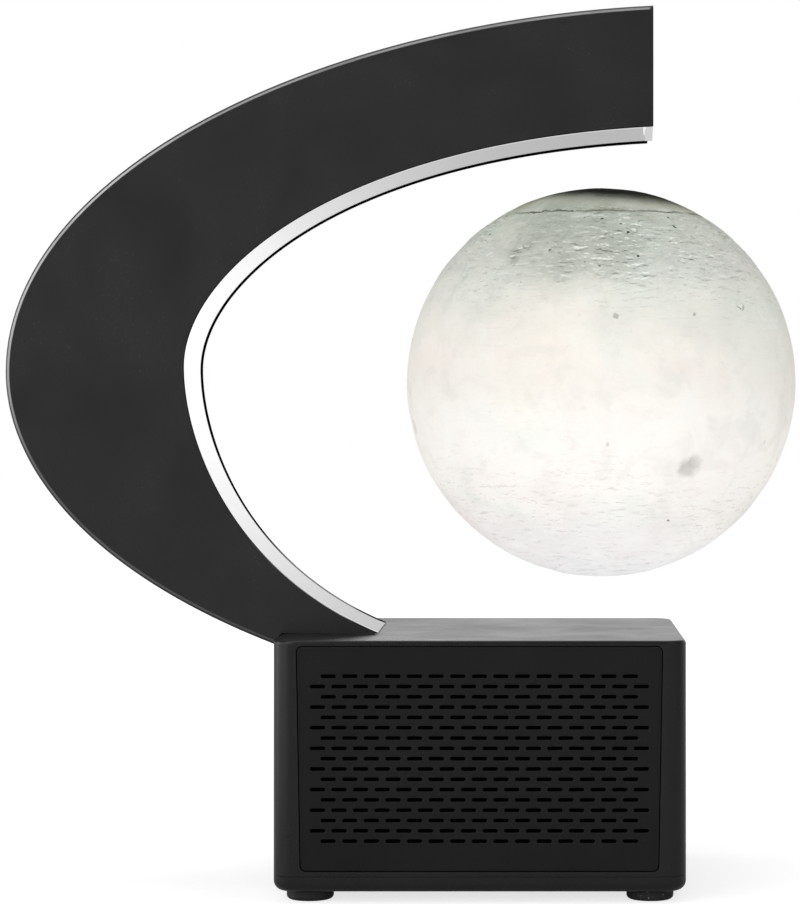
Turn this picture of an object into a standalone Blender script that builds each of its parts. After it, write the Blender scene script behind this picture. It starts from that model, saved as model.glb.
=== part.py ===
"""Moon lamp: a moon that floats under the tip of a hollow C-shaped arm, on a loudspeaker base.

Metres, +Z up. X runs to the right, +Y away from the viewer. Lamp coordinates start at the middle of the
base on the table; one empty shifts the whole lamp so that the origin is under the middle of its outline.
"""
import math

import bmesh
import bpy
from mathutils import Vector

# Fits
CLEAR = 0.0003
WALL = 0.0022
MERGE = 0.00001
PAST = 0.001

# Base
BASE_WIDTH = 0.101
BASE_DEPTH = 0.086
HOUSING_HEIGHT = 0.0574
BASE_CORNER = 0.0055
BASE_TOP_EDGE = 0.0008
COVER_THICKNESS = 0.0029
COVER_EDGE = 0.0024
FOOT_RADIUS = 0.0058
FOOT_HEIGHT = 0.0031
FOOT_EDGE = 0.0014
FOOT_INSET_X = 0.0087
FOOT_INSET_Y = 0.0090

# Front panel with its slots
PANEL_THICKNESS = 0.0020
PANEL_SIDE_TOP = 0.00615
PANEL_SIDE_BOTTOM = 0.00705
PANEL_RIM = 0.0015
PANEL_CORNER = 0.0012
PANEL_SINK = 0.0002
SLOT_LENGTH = 0.00365
SLOT_HEIGHT = 0.00083
SLOT_PITCH = 0.005252
ROW_PITCH = 0.002507
SLOT_MARGIN_X = 0.0020
SLOT_MARGIN_Z = 0.0060

# Moon
MOON_RADIUS = 0.050
MOON_X = 0.0305
MOON_WALL = 0.0018
GAP_BELOW = 0.0135
GAP_ABOVE = 0.0141
GAP_BEHIND = 0.0553
CAP_RADIUS = 0.0264
CAP_SKIRT = 0.0030
MOON_STEPS = 28
MAGNET_RADIUS = 0.0103
MAGNET_HEIGHT = 0.0040
MAGNET_DEPTH = 0.0035
SOCKET_WALL = 0.0014
RECEIVER_RADIUS = 0.0160
RECEIVER_BORE = 0.0080
RECEIVER_HEIGHT = 0.0015
LAMP_BOARD_RADIUS = 0.0150
LAMP_BOARD_HEIGHT = 0.0012
LAMP_DOME_RADIUS = 0.0040

# Arm outline: the tip, the bend on the left and the root, with tangents in degrees and handle lengths
ARM_DEPTH = 0.042
TIP_HEIGHT = 0.0303
BEND_WIDTH = 0.0447
BEND_RISE_OUTER = 0.0024
BEND_RISE_INNER = 0.0037
ROOT_LENGTH = 0.0248
ROOT_LIP = 0.0030
OUTER_TIP_ANGLE = 182.73
OUTER_ROOT_ANGLE = 339.08
OUTER_TIP_HANDLE = 0.0863
OUTER_BEND_HANDLES = (0.0494, 0.0233)
OUTER_ROOT_HANDLE = 0.0524
INNER_TIP_ANGLE = 183.09
INNER_ROOT_ANGLE = 337.23
INNER_TIP_HANDLE = 0.0806
INNER_BEND_HANDLES = (0.0234, 0.0180)
INNER_ROOT_HANDLE = 0.0408
CURVE_STEPS = 14
ARM_EDGE = 0.0008
FRONT_SHELL_DEPTH = 0.0140
REAR_LIP = 0.0040
FLARE_RISE = 0.0014
FLARE_RISE_END = 0.0005
FLARE_INSET = 0.0010
FLARE_TOE = 0.0003

# Arm insides
DIFFUSER_THICKNESS = 0.0015
DIFFUSER_SINK = 0.0005
REFLECTOR_DROP = 0.0092
REFLECTOR_THICKNESS = 0.0011
LED_STRIP_WIDTH = 0.0080
LED_STRIP_THICKNESS = 0.0006
LED_HEIGHT = 0.0011
LIGHT_START_SHARE = 0.24
LIGHT_END_SHARE = 1.52
CABLE_RADIUS = 0.0015
CABLE_START_SHARE = 0.30
CABLE_END_SHARE = 1.84
CABLE_STEPS = 18
ARM_BOSS_RADIUS = 0.0035
ARM_BOSS_INSET = 0.0078
ARM_BOSS_PLACES = (0.17, 0.56, 1.06, 1.42)
BOBBIN_RADIUS = 0.0102
BOBBIN_FLANGE = 0.0012
BOBBIN_TUBE = 0.0052
CORE_RADIUS = 0.0040
CORE_HEAD_RADIUS = 0.0080
CORE_HEAD = 0.0020
SEND_COIL_RADIUS = 0.0070
SEND_COIL_BORE = 0.0045
SEND_COIL_HEIGHT = 0.0018
SENSOR_BOARD = (0.0140, 0.0240, 0.0012)

# Screws
SCREW_RADIUS = 0.0011
SCREW_HEAD_RADIUS = 0.0023
SCREW_HEAD_HEIGHT = 0.0013
SCREW_GRIP = 0.0070
POST_RADIUS = 0.0035
MOUNT_BOSS_RADIUS = 0.0026
MOUNT_PLATE_THICKNESS = 0.0016

# Loudspeaker, turned about an axis that points to the front
SPEAKER_RADIUS = 0.0225
SPEAKER_DEPTH = 0.0135
SPEAKER_WALL = 0.0010
SPEAKER_BORE = 0.0205
CONE_RADIUS = 0.0168
CONE_THICKNESS = 0.0005
VOICE_COIL_RADIUS = 0.0060
VOICE_COIL_WALL = 0.0008
VOICE_COIL_LENGTH = 0.0085
SPEAKER_MAGNET_RADIUS = 0.0125
SPEAKER_MAGNET_HEIGHT = 0.0085
SPEAKER_TRAVEL = 0.0010

# Rear controls
BOARD_POST_GAP = 0.0073
BOARD_POST_RADIUS = 0.0028
BOARD_HEIGHT = 0.038
BOARD_THICKNESS = 0.0016
BOARD_STANDOFF = 0.0068
BUTTON_RADIUS = 0.0031
BUTTON_PROUD = 0.0009
BUTTON_TRAVEL = 0.0006
BUTTON_FLANGE = 0.0011
BUTTON_SPACING = 0.0120
BUTTON_HEIGHT = 0.0400
SWITCH_WIDTH = 0.0060
SWITCH_HEIGHT = 0.0035
PLUNGER_RADIUS = 0.0014
INLET_HEIGHT = 0.0205
INLET_RADIUS = 0.0042
INLET_BORE = 0.0030
INLET_PIN = 0.0010
INLET_BORE_DEPTH = 0.0085

# Levels and faces that follow from the sizes
COVER_BOTTOM = FOOT_HEIGHT + CLEAR
HOUSING_BOTTOM = COVER_BOTTOM + COVER_THICKNESS + CLEAR
BASE_TOP = HOUSING_BOTTOM + HOUSING_HEIGHT
ARM_BOTTOM = BASE_TOP + CLEAR
CEILING = BASE_TOP - WALL
BASE_FRONT = -BASE_DEPTH / 2
BASE_REAR = BASE_DEPTH / 2
BASE_LEFT = -BASE_WIDTH / 2
REAR_WALL_IN = BASE_REAR - WALL
PANEL_FRONT = BASE_FRONT + PANEL_SINK
PANEL_BACK = PANEL_FRONT + PANEL_THICKNESS
BAFFLE_FRONT = PANEL_BACK + CLEAR
BAFFLE_BACK = BAFFLE_FRONT + WALL
PANEL_BOTTOM = HOUSING_BOTTOM + PANEL_RIM
PANEL_TOP = BASE_TOP - PANEL_RIM
PANEL_MIDDLE = (PANEL_BOTTOM + PANEL_TOP) / 2
BOARD_WIDTH = BASE_WIDTH - 2 * (FOOT_INSET_X + POST_RADIUS + BOARD_POST_GAP)
ARM_FRONT = -ARM_DEPTH / 2
ARM_REAR = ARM_DEPTH / 2
SEAM = ARM_FRONT + FRONT_SHELL_DEPTH
DIFFUSER_BACK = DIFFUSER_SINK + DIFFUSER_THICKNESS
MOON_Z = BASE_TOP + GAP_BELOW + MOON_RADIUS
TIP_X = MOON_X + BOBBIN_RADIUS + CLEAR + WALL
TIP_UNDER = MOON_Z + MOON_RADIUS + GAP_ABOVE
BEND_INNER_X = MOON_X - MOON_RADIUS - GAP_BEHIND
BEND_OUTER_X = BEND_INNER_X - BEND_WIDTH
ROOT_OUTER_X = BASE_LEFT - CLEAR
ROOT_INNER_X = ROOT_OUTER_X + ROOT_LENGTH
ROOT_SLOPE = math.radians(360.0 - INNER_ROOT_ANGLE)
OUTLINE_MIDDLE = (BEND_OUTER_X + MOON_X + MOON_RADIUS) / 2

# Wide, shallow basins on the moon: direction of the middle, radius and depth
BASINS = (
    ((0.46, -0.78, -0.43), 0.013, 0.0005),
    ((-0.30, -0.93, 0.22), 0.020, 0.0004),
    ((0.70, -0.55, 0.40), 0.012, 0.0005),
    ((0.55, 0.75, 0.30), 0.022, 0.0005),
    ((-0.70, 0.62, -0.30), 0.018, 0.0005),
    ((0.10, 0.70, -0.70), 0.016, 0.0004),
)


def make_collection(name):
    """A collection under the scene's own."""
    collection = bpy.data.collections.new(name)
    bpy.context.scene.collection.children.link(collection)
    return collection


for old in list(bpy.data.objects):
    bpy.data.objects.remove(old, do_unlink=True)
PARTS = make_collection("moon_lamp")
CUTTERS = make_collection("cutters")
MATERIALS = {}


def material(name, colour, roughness, metallic=0.0):
    """A plain material in the part's own colour."""
    made = bpy.data.materials.new(name)
    made.use_nodes = True
    shader = made.node_tree.nodes["Principled BSDF"]
    shader.inputs["Base Color"].default_value = (*colour, 1.0)
    shader.inputs["Roughness"].default_value = roughness
    shader.inputs["Metallic"].default_value = metallic
    MATERIALS[name] = made


def make_empty(name, place, parent=None):
    """An empty that carries other objects."""
    empty = bpy.data.objects.new(name, None)
    PARTS.objects.link(empty)
    empty.location = place
    empty.parent = parent
    return empty


LAMP = make_empty("lamp_origin", (-OUTLINE_MIDDLE, 0.0, 0.0))
MOON_PIVOT = make_empty("moon_pivot", (MOON_X, 0.0, MOON_Z), LAMP)
FACING_FRONT = (math.pi / 2, 0.0, 0.0)
FACING_REAR = (-math.pi / 2, 0.0, 0.0)
FACING_DOWN = (math.pi, 0.0, 0.0)


def add_object(name, mesh, look=None, place=(0.0, 0.0, 0.0), turn=(0.0, 0.0, 0.0), parent=None):
    """Adds a mesh as a part of the lamp, or as a cutter where it has no look of its own."""
    made = bpy.data.objects.new(name, mesh)
    made.parent = parent or LAMP
    made.location = place
    made.rotation_euler = turn
    if look is None:
        CUTTERS.objects.link(made)
        made.hide_render = True
        made.display_type = "WIRE"
        return made
    PARTS.objects.link(made)
    own = MATERIALS[look].copy()
    own.name = name
    mesh.materials.clear()
    mesh.materials.append(own)
    return made


def mesh_of(source):
    """The evaluated mesh of an object in its own coordinates, with its seams welded; the object goes."""
    bpy.context.view_layer.update()
    evaluated = source.evaluated_get(bpy.context.evaluated_depsgraph_get())
    mesh = bpy.data.meshes.new_from_object(evaluated)
    bpy.data.objects.remove(source, do_unlink=True)
    shape = bmesh.new()
    shape.from_mesh(mesh)
    bmesh.ops.remove_doubles(shape, verts=shape.verts, dist=MERGE)
    loose = [line for line in shape.edges if not line.link_faces]
    bmesh.ops.delete(shape, geom=loose, context="EDGES")
    shape.to_mesh(mesh)
    shape.free()
    return mesh


def smooth(mesh, angle=35.0):
    """Shades a mesh smooth apart from its sharp edges."""
    mesh.shade_smooth()
    mesh.set_sharp_from_angle(angle=math.radians(angle))


def prism_mesh(name, loops, low, high, upright=False, rounded=None, edge=0.0, steps=2):
    """Flat outlines, filled and extruded: along Y from low to high, or along Z where upright.

    rounded(x, v, far) picks the rim points, v being Z or Y, whose edges get rounded by edge.
    """
    curve = bpy.data.curves.new(name, "CURVE")
    curve.dimensions = "2D"
    curve.fill_mode = "BOTH"
    curve.extrude = (high - low) / 2
    for loop in loops:
        spline = curve.splines.new("POLY")
        spline.points.add(len(loop) - 1)
        spline.use_cyclic_u = True
        for point, (u, v) in zip(spline.points, loop):
            point.co = (u, v, 0.0, 1.0)
    flat = bpy.data.objects.new(name + "_outline", curve)
    bpy.context.scene.collection.objects.link(flat)
    mesh = mesh_of(flat)
    middle = (low + high) / 2
    shape = bmesh.new()
    shape.from_mesh(mesh)
    for vert in shape.verts:
        u, v, w = vert.co
        vert.co = (u, v, w + middle) if upright else (u, middle - w, v)
    if rounded is not None:
        bmesh.ops.dissolve_limit(shape, angle_limit=0.001, verts=shape.verts, edges=shape.edges)
        axis = 2 if upright else 1
        rim = [line for line in shape.edges if all(
            abs(end.co[axis] - low) < MERGE and rounded(end.co.x, end.co[3 - axis], False)
            or abs(end.co[axis] - high) < MERGE and rounded(end.co.x, end.co[3 - axis], True)
            for end in line.verts)]
        bmesh.ops.bevel(shape, geom=rim, offset=edge, segments=steps, profile=0.5, affect="EDGES",
                        clamp_overlap=True)
    bmesh.ops.recalc_face_normals(shape, faces=shape.faces)
    shape.to_mesh(mesh)
    shape.free()
    smooth(mesh)
    return mesh


def box_mesh(name, low, high):
    """A box between two corners."""
    shape = bmesh.new()
    bmesh.ops.create_cube(shape, size=1.0)
    size = Vector(high) - Vector(low)
    middle = (Vector(high) + Vector(low)) / 2
    bmesh.ops.scale(shape, vec=size, verts=shape.verts)
    bmesh.ops.translate(shape, vec=middle, verts=shape.verts)
    mesh = bpy.data.meshes.new(name)
    shape.to_mesh(mesh)
    shape.free()
    return mesh


def turned_mesh(name, profile, steps=16, closed=False):
    """A profile of (radius, height), outer side top to bottom, turned about Z."""
    mesh = bpy.data.meshes.new(name)
    points = [(radius, 0.0, height) for radius, height in profile]
    lines = [(i, i + 1) for i in range(len(points) - 1)]
    if closed:
        lines.append((len(points) - 1, 0))
    mesh.from_pydata(points, lines, [])
    source = bpy.data.objects.new(name + "_profile", mesh)
    bpy.context.scene.collection.objects.link(source)
    screw = source.modifiers.new("turn", "SCREW")
    screw.steps = steps
    screw.render_steps = steps
    screw.use_merge_vertices = True
    screw.merge_threshold = MERGE
    turned = mesh_of(source)
    smooth(turned)
    return turned


def ring_mesh(name, outer, inner, low, high, steps=16):
    """A plain ring or tube."""
    return turned_mesh(name, [(outer, high), (outer, low), (inner, low), (inner, high)], steps, True)


def rod_mesh(name, radius, low, high, steps=12):
    """A plain cylinder along Z."""
    return turned_mesh(name, [(0.0, high), (radius, high), (radius, low), (0.0, low)], steps)


def combine(target, other, how):
    """A Boolean of the target with another object; the long curved shells need the manifold solver."""
    step = target.modifiers.new(other.name, "BOOLEAN")
    step.operation = how
    step.solver = "MANIFOLD" if target.name in ("arm_front_shell", "arm_rear_shell") else "EXACT"
    step.object = other


def cut(target, name, mesh, place=(0.0, 0.0, 0.0), turn=(0.0, 0.0, 0.0)):
    """Cuts a shape out of a part."""
    combine(target, add_object(name, mesh, None, place, turn, target.parent), "DIFFERENCE")


def join(target, name, mesh, place=(0.0, 0.0, 0.0), turn=(0.0, 0.0, 0.0)):
    """Joins a shape to a part."""
    combine(target, add_object(name, mesh, None, place, turn, target.parent), "UNION")


def screw(name, place, turn, length, look="screw_steel"):
    """A screw whose head's underside is at its place and whose shank runs along local -Z."""
    profile = [(0.0, SCREW_HEAD_HEIGHT), (SCREW_HEAD_RADIUS * 0.7, SCREW_HEAD_HEIGHT),
               (SCREW_HEAD_RADIUS, SCREW_HEAD_HEIGHT * 0.6), (SCREW_HEAD_RADIUS, 0.0),
               (SCREW_RADIUS, 0.0), (SCREW_RADIUS, -length), (0.0, -length)]
    add_object(name, turned_mesh(name, profile, 6), look, place, turn)


def bezier(start, start_angle, start_handle, end, end_angle, end_handle, share):
    """A point on a cubic and its direction of travel."""
    a = Vector(start)
    d = Vector(end)
    b = a + start_handle * Vector((math.cos(math.radians(start_angle)), math.sin(math.radians(start_angle))))
    c = d - end_handle * Vector((math.cos(math.radians(end_angle)), math.sin(math.radians(end_angle))))
    rest = 1.0 - share
    point = rest ** 3 * a + 3 * rest ** 2 * share * b + 3 * rest * share ** 2 * c + share ** 3 * d
    travel = rest ** 2 * (b - a) + 2 * rest * share * (c - b) + share ** 2 * (d - c)
    return point, travel.normalized()


def outer_edge(t, inset=0.0):
    """A point of the arm's outer edge, t from 0 at the tip through 1 at the bend to 2 at the root."""
    bend = (BEND_OUTER_X, MOON_Z + BEND_RISE_OUTER)
    if t <= 1.0:
        point, travel = bezier((TIP_X, TIP_UNDER + TIP_HEIGHT), OUTER_TIP_ANGLE, OUTER_TIP_HANDLE,
                               bend, 270.0, OUTER_BEND_HANDLES[0], t)
    else:
        point, travel = bezier(bend, 270.0, OUTER_BEND_HANDLES[1], (ROOT_OUTER_X, BASE_TOP - ROOT_LIP),
                               OUTER_ROOT_ANGLE, OUTER_ROOT_HANDLE, t - 1.0)
    return point + inset * Vector((-travel.y, travel.x))


def inner_edge(t, inset=0.0):
    """A point of the arm's inner edge, with an inset measured into the arm."""
    bend = (BEND_INNER_X, MOON_Z + BEND_RISE_INNER)
    if t <= 1.0:
        point, travel = bezier((TIP_X, TIP_UNDER), INNER_TIP_ANGLE, INNER_TIP_HANDLE,
                               bend, 270.0, INNER_BEND_HANDLES[0], t)
    else:
        point, travel = bezier(bend, 270.0, INNER_BEND_HANDLES[1], (ROOT_INNER_X, ARM_BOTTOM),
                               INNER_ROOT_ANGLE, INNER_ROOT_HANDLE, t - 1.0)
    return point + inset * Vector((travel.y, -travel.x))


def line_along(edge, inset=0.0, start=0.0, end=2.0, level=None):
    """Points along an edge of the arm, ended where the line comes down to a level."""
    steps = max(2, round(CURVE_STEPS * (end - start)))
    points = [edge(start + (end - start) * i / steps, inset) for i in range(steps + 1)]
    if level is None:
        return points
    kept = [points[0]]
    for point in points[1:]:
        if point.y <= level:
            last = kept[-1]
            kept.append(last.lerp(point, (last.y - level) / (last.y - point.y)))
            break
        kept.append(point)
    return kept


def ended_at_tip(points, x):
    """The same line with its first point moved along it to a given X."""
    first, second = points[0], points[1]
    share = (x - first.x) / (second.x - first.x)
    return [first.lerp(second, share)] + points[1:]


def height_at(edge, x):
    """The height of an edge near the tip at a given X."""
    points = line_along(edge, 0.0, 0.0, 1.0)
    for first, second in zip(points, points[1:]):
        if second.x <= x <= first.x:
            return first.lerp(second, (first.x - x) / (first.x - second.x)).y
    return points[0].y


def arm_outline():
    """The whole C, from the tip along the outer edge to the root and back along the inner edge."""
    outer = line_along(outer_edge)
    inner = line_along(inner_edge)
    return outer + [Vector((ROOT_OUTER_X, ARM_BOTTOM))] + inner[::-1]


def arm_hollow(with_channel):
    """The room inside the arm, left open towards the base, and towards the moon where it has the channel."""
    deep = ARM_BOTTOM - WALL * 3
    channel = DIFFUSER_BACK + CLEAR
    if with_channel:
        outer = ended_at_tip(line_along(outer_edge, WALL), TIP_X - WALL)
        roof = ended_at_tip(line_along(inner_edge, channel), TIP_X - WALL)[0]
        mouth = ended_at_tip(line_along(inner_edge, channel), TIP_X + PAST)[0]
        inner = ended_at_tip(line_along(inner_edge, -PAST), TIP_X + PAST)
        back = inner[::-1] + [mouth, roof]
    else:
        outer = ended_at_tip(line_along(outer_edge, WALL + CLEAR), TIP_X - WALL - CLEAR)
        inner = ended_at_tip(line_along(inner_edge, channel + CLEAR), TIP_X - WALL - CLEAR)
        back = inner[::-1]
    return outer + [Vector((outer[-1].x, deep)), Vector((inner[-1].x, deep))] + back


def arm_band(near, far, start_x, level=None, start=0.0, end=2.0):
    """A strip along the inner edge, between two insets."""
    inside = line_along(inner_edge, near, start, end, level)
    outside = line_along(inner_edge, far, start, end, level)
    if start_x is not None:
        inside = ended_at_tip(inside, start_x)
        outside = ended_at_tip(outside, start_x)
    return inside + outside[::-1]


def flare_mesh(name, side):
    """The arm's root spreading over the base to its corner, a loft of hollow fillets. side is -1 in front."""
    face = ARM_DEPTH / 2 - FLARE_TOE / 2
    buried = face - WALL / 2
    corner_x = BASE_LEFT + BASE_CORNER
    left = BASE_LEFT + FLARE_INSET
    slope = math.tan(ROOT_SLOPE)
    right = ROOT_INNER_X - FLARE_TOE * 3 / slope
    floor = ARM_BOTTOM + FLARE_TOE / 3
    reach = BASE_DEPTH / 2 - FLARE_INSET
    places = [left, left + BASE_CORNER * 0.12, left + BASE_CORNER * 0.4, corner_x]
    places += [corner_x + (right - corner_x) * i / 4 for i in range(1, 5)]
    shape = bmesh.new()
    rings = []
    for x in places:
        share = (x - left) / (right - left)
        rise = min(FLARE_RISE + (FLARE_RISE_END - FLARE_RISE) * share,
                   (ROOT_INNER_X - x) * slope - FLARE_TOE * 1.5)
        if x < corner_x:
            radius = BASE_CORNER - FLARE_INSET
            toe = reach - radius + math.sqrt(max(0.0, radius ** 2 - (corner_x - x) ** 2))
        else:
            toe = reach + (face + CLEAR - reach) * (x - corner_x) / (right - corner_x)
        ring = []
        for i in range(6):
            angle = math.pi / 2 * i / 5
            y = toe + (face - toe) * math.sin(angle)
            z = ARM_BOTTOM + FLARE_TOE + rise * (1.0 - math.cos(angle))
            ring.append((x, side * y, z))
        ring.append((x, side * buried, ARM_BOTTOM + FLARE_TOE + rise))
        ring.append((x, side * buried, floor))
        ring.append((x, side * toe, floor))
        rings.append([shape.verts.new(point) for point in ring])
    for ring in (rings[0], rings[-1]):
        shape.faces.new(ring)
    for first, second in zip(rings, rings[1:]):
        for i in range(len(first)):
            j = (i + 1) % len(first)
            shape.faces.new((first[i], first[j], second[j], second[i]))
    bmesh.ops.triangulate(shape, faces=shape.faces)
    bmesh.ops.recalc_face_normals(shape, faces=shape.faces)
    mesh = bpy.data.meshes.new(name)
    shape.to_mesh(mesh)
    shape.free()
    smooth(mesh)
    return mesh


def boss_places():
    """Where the screws that close the arm sit."""
    return [outer_edge(t, ARM_BOSS_INSET) for t in ARM_BOSS_PLACES]


MOUNT_X = ROOT_OUTER_X + ROOT_LENGTH / 4
MOUNT_Y = ARM_DEPTH / 2 - WALL - MOUNT_BOSS_RADIUS + CLEAR
MOUNT_RISE = ((ROOT_INNER_X - MOUNT_X - MOUNT_BOSS_RADIUS) * math.tan(ROOT_SLOPE)
              - (DIFFUSER_BACK + CLEAR) / math.cos(ROOT_SLOPE) - CLEAR)
SLOPE_AT_TIP = math.radians(INNER_TIP_ANGLE - 180.0)
SENSOR_BOTTOM = (height_at(inner_edge, MOON_X + BOBBIN_RADIUS)
                 + (DIFFUSER_BACK + CLEAR) / math.cos(SLOPE_AT_TIP))
SHELF_BOTTOM = SENSOR_BOTTOM + SENSOR_BOARD[2] + CLEAR
BOBBIN_BOTTOM = SHELF_BOTTOM + SEND_COIL_HEIGHT + CLEAR
TIP_CEILING = height_at(outer_edge, MOON_X - BOBBIN_RADIUS) - WALL
BOBBIN_TOP = TIP_CEILING - CLEAR - CORE_HEAD - CLEAR


def add_arm_shells():
    """Two hollow halves that meet at a seam, with the channel for the light band left open."""
    inner_points = {(round(p.x, 6), round(p.y, 6)) for p in line_along(inner_edge)}

    def on_outer(x, z, far):
        return (round(x, 6), round(z, 6)) not in inner_points

    outline = [(p.x, p.y) for p in arm_outline()]
    hollow = [(p.x, p.y) for p in arm_hollow(True)]
    rear_hollow = [(p.x, p.y) for p in arm_hollow(False)]
    front = add_object("arm_front_shell", prism_mesh(
        "arm_front_shell", [outline], ARM_FRONT, SEAM,
        rounded=lambda x, z, far: not far and on_outer(x, z, far), edge=ARM_EDGE), "arm_black")
    rear = add_object("arm_rear_shell", prism_mesh(
        "arm_rear_shell", [outline], SEAM + CLEAR, ARM_REAR,
        rounded=lambda x, z, far: far and on_outer(x, z, far), edge=ARM_EDGE), "arm_black")
    for shell, side, name in ((front, -1, "front_flare"), (rear, 1, "rear_flare")):
        join(shell, name, flare_mesh(name, side))
    cut(front, "front_hollow", prism_mesh("front_hollow", [hollow], ARM_FRONT + WALL, SEAM + PAST))
    cut(rear, "rear_channel", prism_mesh("rear_channel", [hollow], SEAM - PAST, ARM_REAR - REAR_LIP))
    cut(rear, "rear_hollow", prism_mesh("rear_hollow", [rear_hollow], SEAM, ARM_REAR - WALL))
    add_shell_bosses(front, rear)
    add_coil_shelves(front, rear)
    add_mount_bosses(front, rear)


def add_shell_bosses(front, rear):
    """Posts in both halves, a deep screw hole in the rear one and a screw in each."""
    seat = SEAM + CLEAR + SCREW_HEAD_HEIGHT
    for number, spot in enumerate(boss_places(), 1):
        here = (spot.x, 0.0, spot.y)
        join(front, f"front_post_{number}",
             rod_mesh(f"front_post_{number}", ARM_BOSS_RADIUS, ARM_FRONT + WALL / 2, SEAM), here, FACING_REAR)
        cut(front, f"front_pilot_{number}",
            rod_mesh(f"front_pilot_{number}", SCREW_RADIUS + CLEAR, SEAM - SCREW_GRIP - CLEAR * 2,
                     SEAM + PAST, 8), here, FACING_REAR)
        join(rear, f"rear_post_{number}",
             rod_mesh(f"rear_post_{number}", ARM_BOSS_RADIUS, SEAM + CLEAR, ARM_REAR - WALL / 2),
             here, FACING_REAR)
        well = [(0.0, ARM_REAR + PAST), (SCREW_HEAD_RADIUS + CLEAR, ARM_REAR + PAST),
                (SCREW_HEAD_RADIUS + CLEAR, seat), (SCREW_RADIUS + CLEAR, seat),
                (SCREW_RADIUS + CLEAR, SEAM - PAST), (0.0, SEAM - PAST)]
        cut(rear, f"rear_well_{number}", turned_mesh(f"rear_well_{number}", well, 10), here, FACING_REAR)
        length = seat + CLEAR - (SEAM - SCREW_GRIP)
        screw(f"arm_screw_{number}", (spot.x, seat + CLEAR, spot.y), FACING_REAR, length)


def add_coil_shelves(front, rear):
    """Ribs from both halves that carry the electromagnet in the tip."""
    half = SENSOR_BOARD[0] / 2
    for shell, side, name in ((front, -1, "front_shelf"), (rear, 1, "rear_shelf")):
        ends = sorted((side * (ARM_DEPTH / 2 - WALL / 2), side * (SEND_COIL_RADIUS + CLEAR)))
        join(shell, name, box_mesh(name, (MOON_X - half, ends[0], SHELF_BOTTOM),
                                   (MOON_X + half, ends[1], BOBBIN_BOTTOM - CLEAR)))


def add_mount_bosses(front, rear):
    """Short posts at the root for the screws that come up through the base."""
    for shell, side, number in ((front, -1, 1), (rear, 1, 2)):
        here = (MOUNT_X, side * MOUNT_Y, 0.0)
        post = rod_mesh(f"mount_post_{number}", MOUNT_BOSS_RADIUS, ARM_BOTTOM, ARM_BOTTOM + MOUNT_RISE, 12)
        join(shell, f"mount_post_{number}", post, here)
        cut(shell, f"mount_pilot_{number}",
            rod_mesh(f"mount_pilot_{number}", SCREW_RADIUS + CLEAR, ARM_BOTTOM - PAST,
                     ARM_BOTTOM + MOUNT_RISE - CLEAR, 8), here)
        seat = CEILING - CLEAR - MOUNT_PLATE_THICKNESS - CLEAR
        screw(f"mounting_screw_{number}", (MOUNT_X, side * MOUNT_Y, seat), FACING_DOWN,
              ARM_BOTTOM + MOUNT_RISE - CLEAR * 3 - seat)


def add_light_band():
    """The pale diffuser along the inside of the C, the reflector behind it and its strip of lights."""
    front = ARM_FRONT + WALL + CLEAR
    band = [(p.x, p.y) for p in arm_band(DIFFUSER_SINK, DIFFUSER_BACK, TIP_X, ARM_BOTTOM)]
    add_object("arm_light_diffuser",
               prism_mesh("arm_light_diffuser", [band], front, ARM_REAR - REAR_LIP - CLEAR), "diffuser_white")
    far = REFLECTOR_DROP + REFLECTOR_THICKNESS
    lit = arm_band(REFLECTOR_DROP, far, None, None, LIGHT_START_SHARE, LIGHT_END_SHARE)
    plate = [(p.x, p.y) for p in lit]
    add_object("arm_reflector",
               prism_mesh("arm_reflector", [plate], front, ARM_REAR - WALL - CLEAR), "reflector_white")
    back = REFLECTOR_DROP - CLEAR
    chip_face = back - LED_STRIP_THICKNESS - LED_HEIGHT
    lights = round(CURVE_STEPS * (LIGHT_END_SHARE - LIGHT_START_SHARE) * 0.8)
    line = []
    for i in range(lights):
        for share, inset in ((0.0, back - LED_STRIP_THICKNESS), (0.6, back - LED_STRIP_THICKNESS),
                             (0.6, chip_face), (1.0, chip_face), (1.0, back - LED_STRIP_THICKNESS)):
            t = LIGHT_START_SHARE + (LIGHT_END_SHARE - LIGHT_START_SHARE) * (i + share) / lights
            if share > 0.0 or i == 0:
                line.append(inner_edge(t, inset))
    rear_line = line_along(inner_edge, back, LIGHT_START_SHARE, LIGHT_END_SHARE)
    strip = [(p.x, p.y) for p in line + rear_line[::-1]]
    add_object("arm_led_strip", prism_mesh("arm_led_strip", [strip], -LED_STRIP_WIDTH / 2,
                                           LED_STRIP_WIDTH / 2), "led_yellow")


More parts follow.
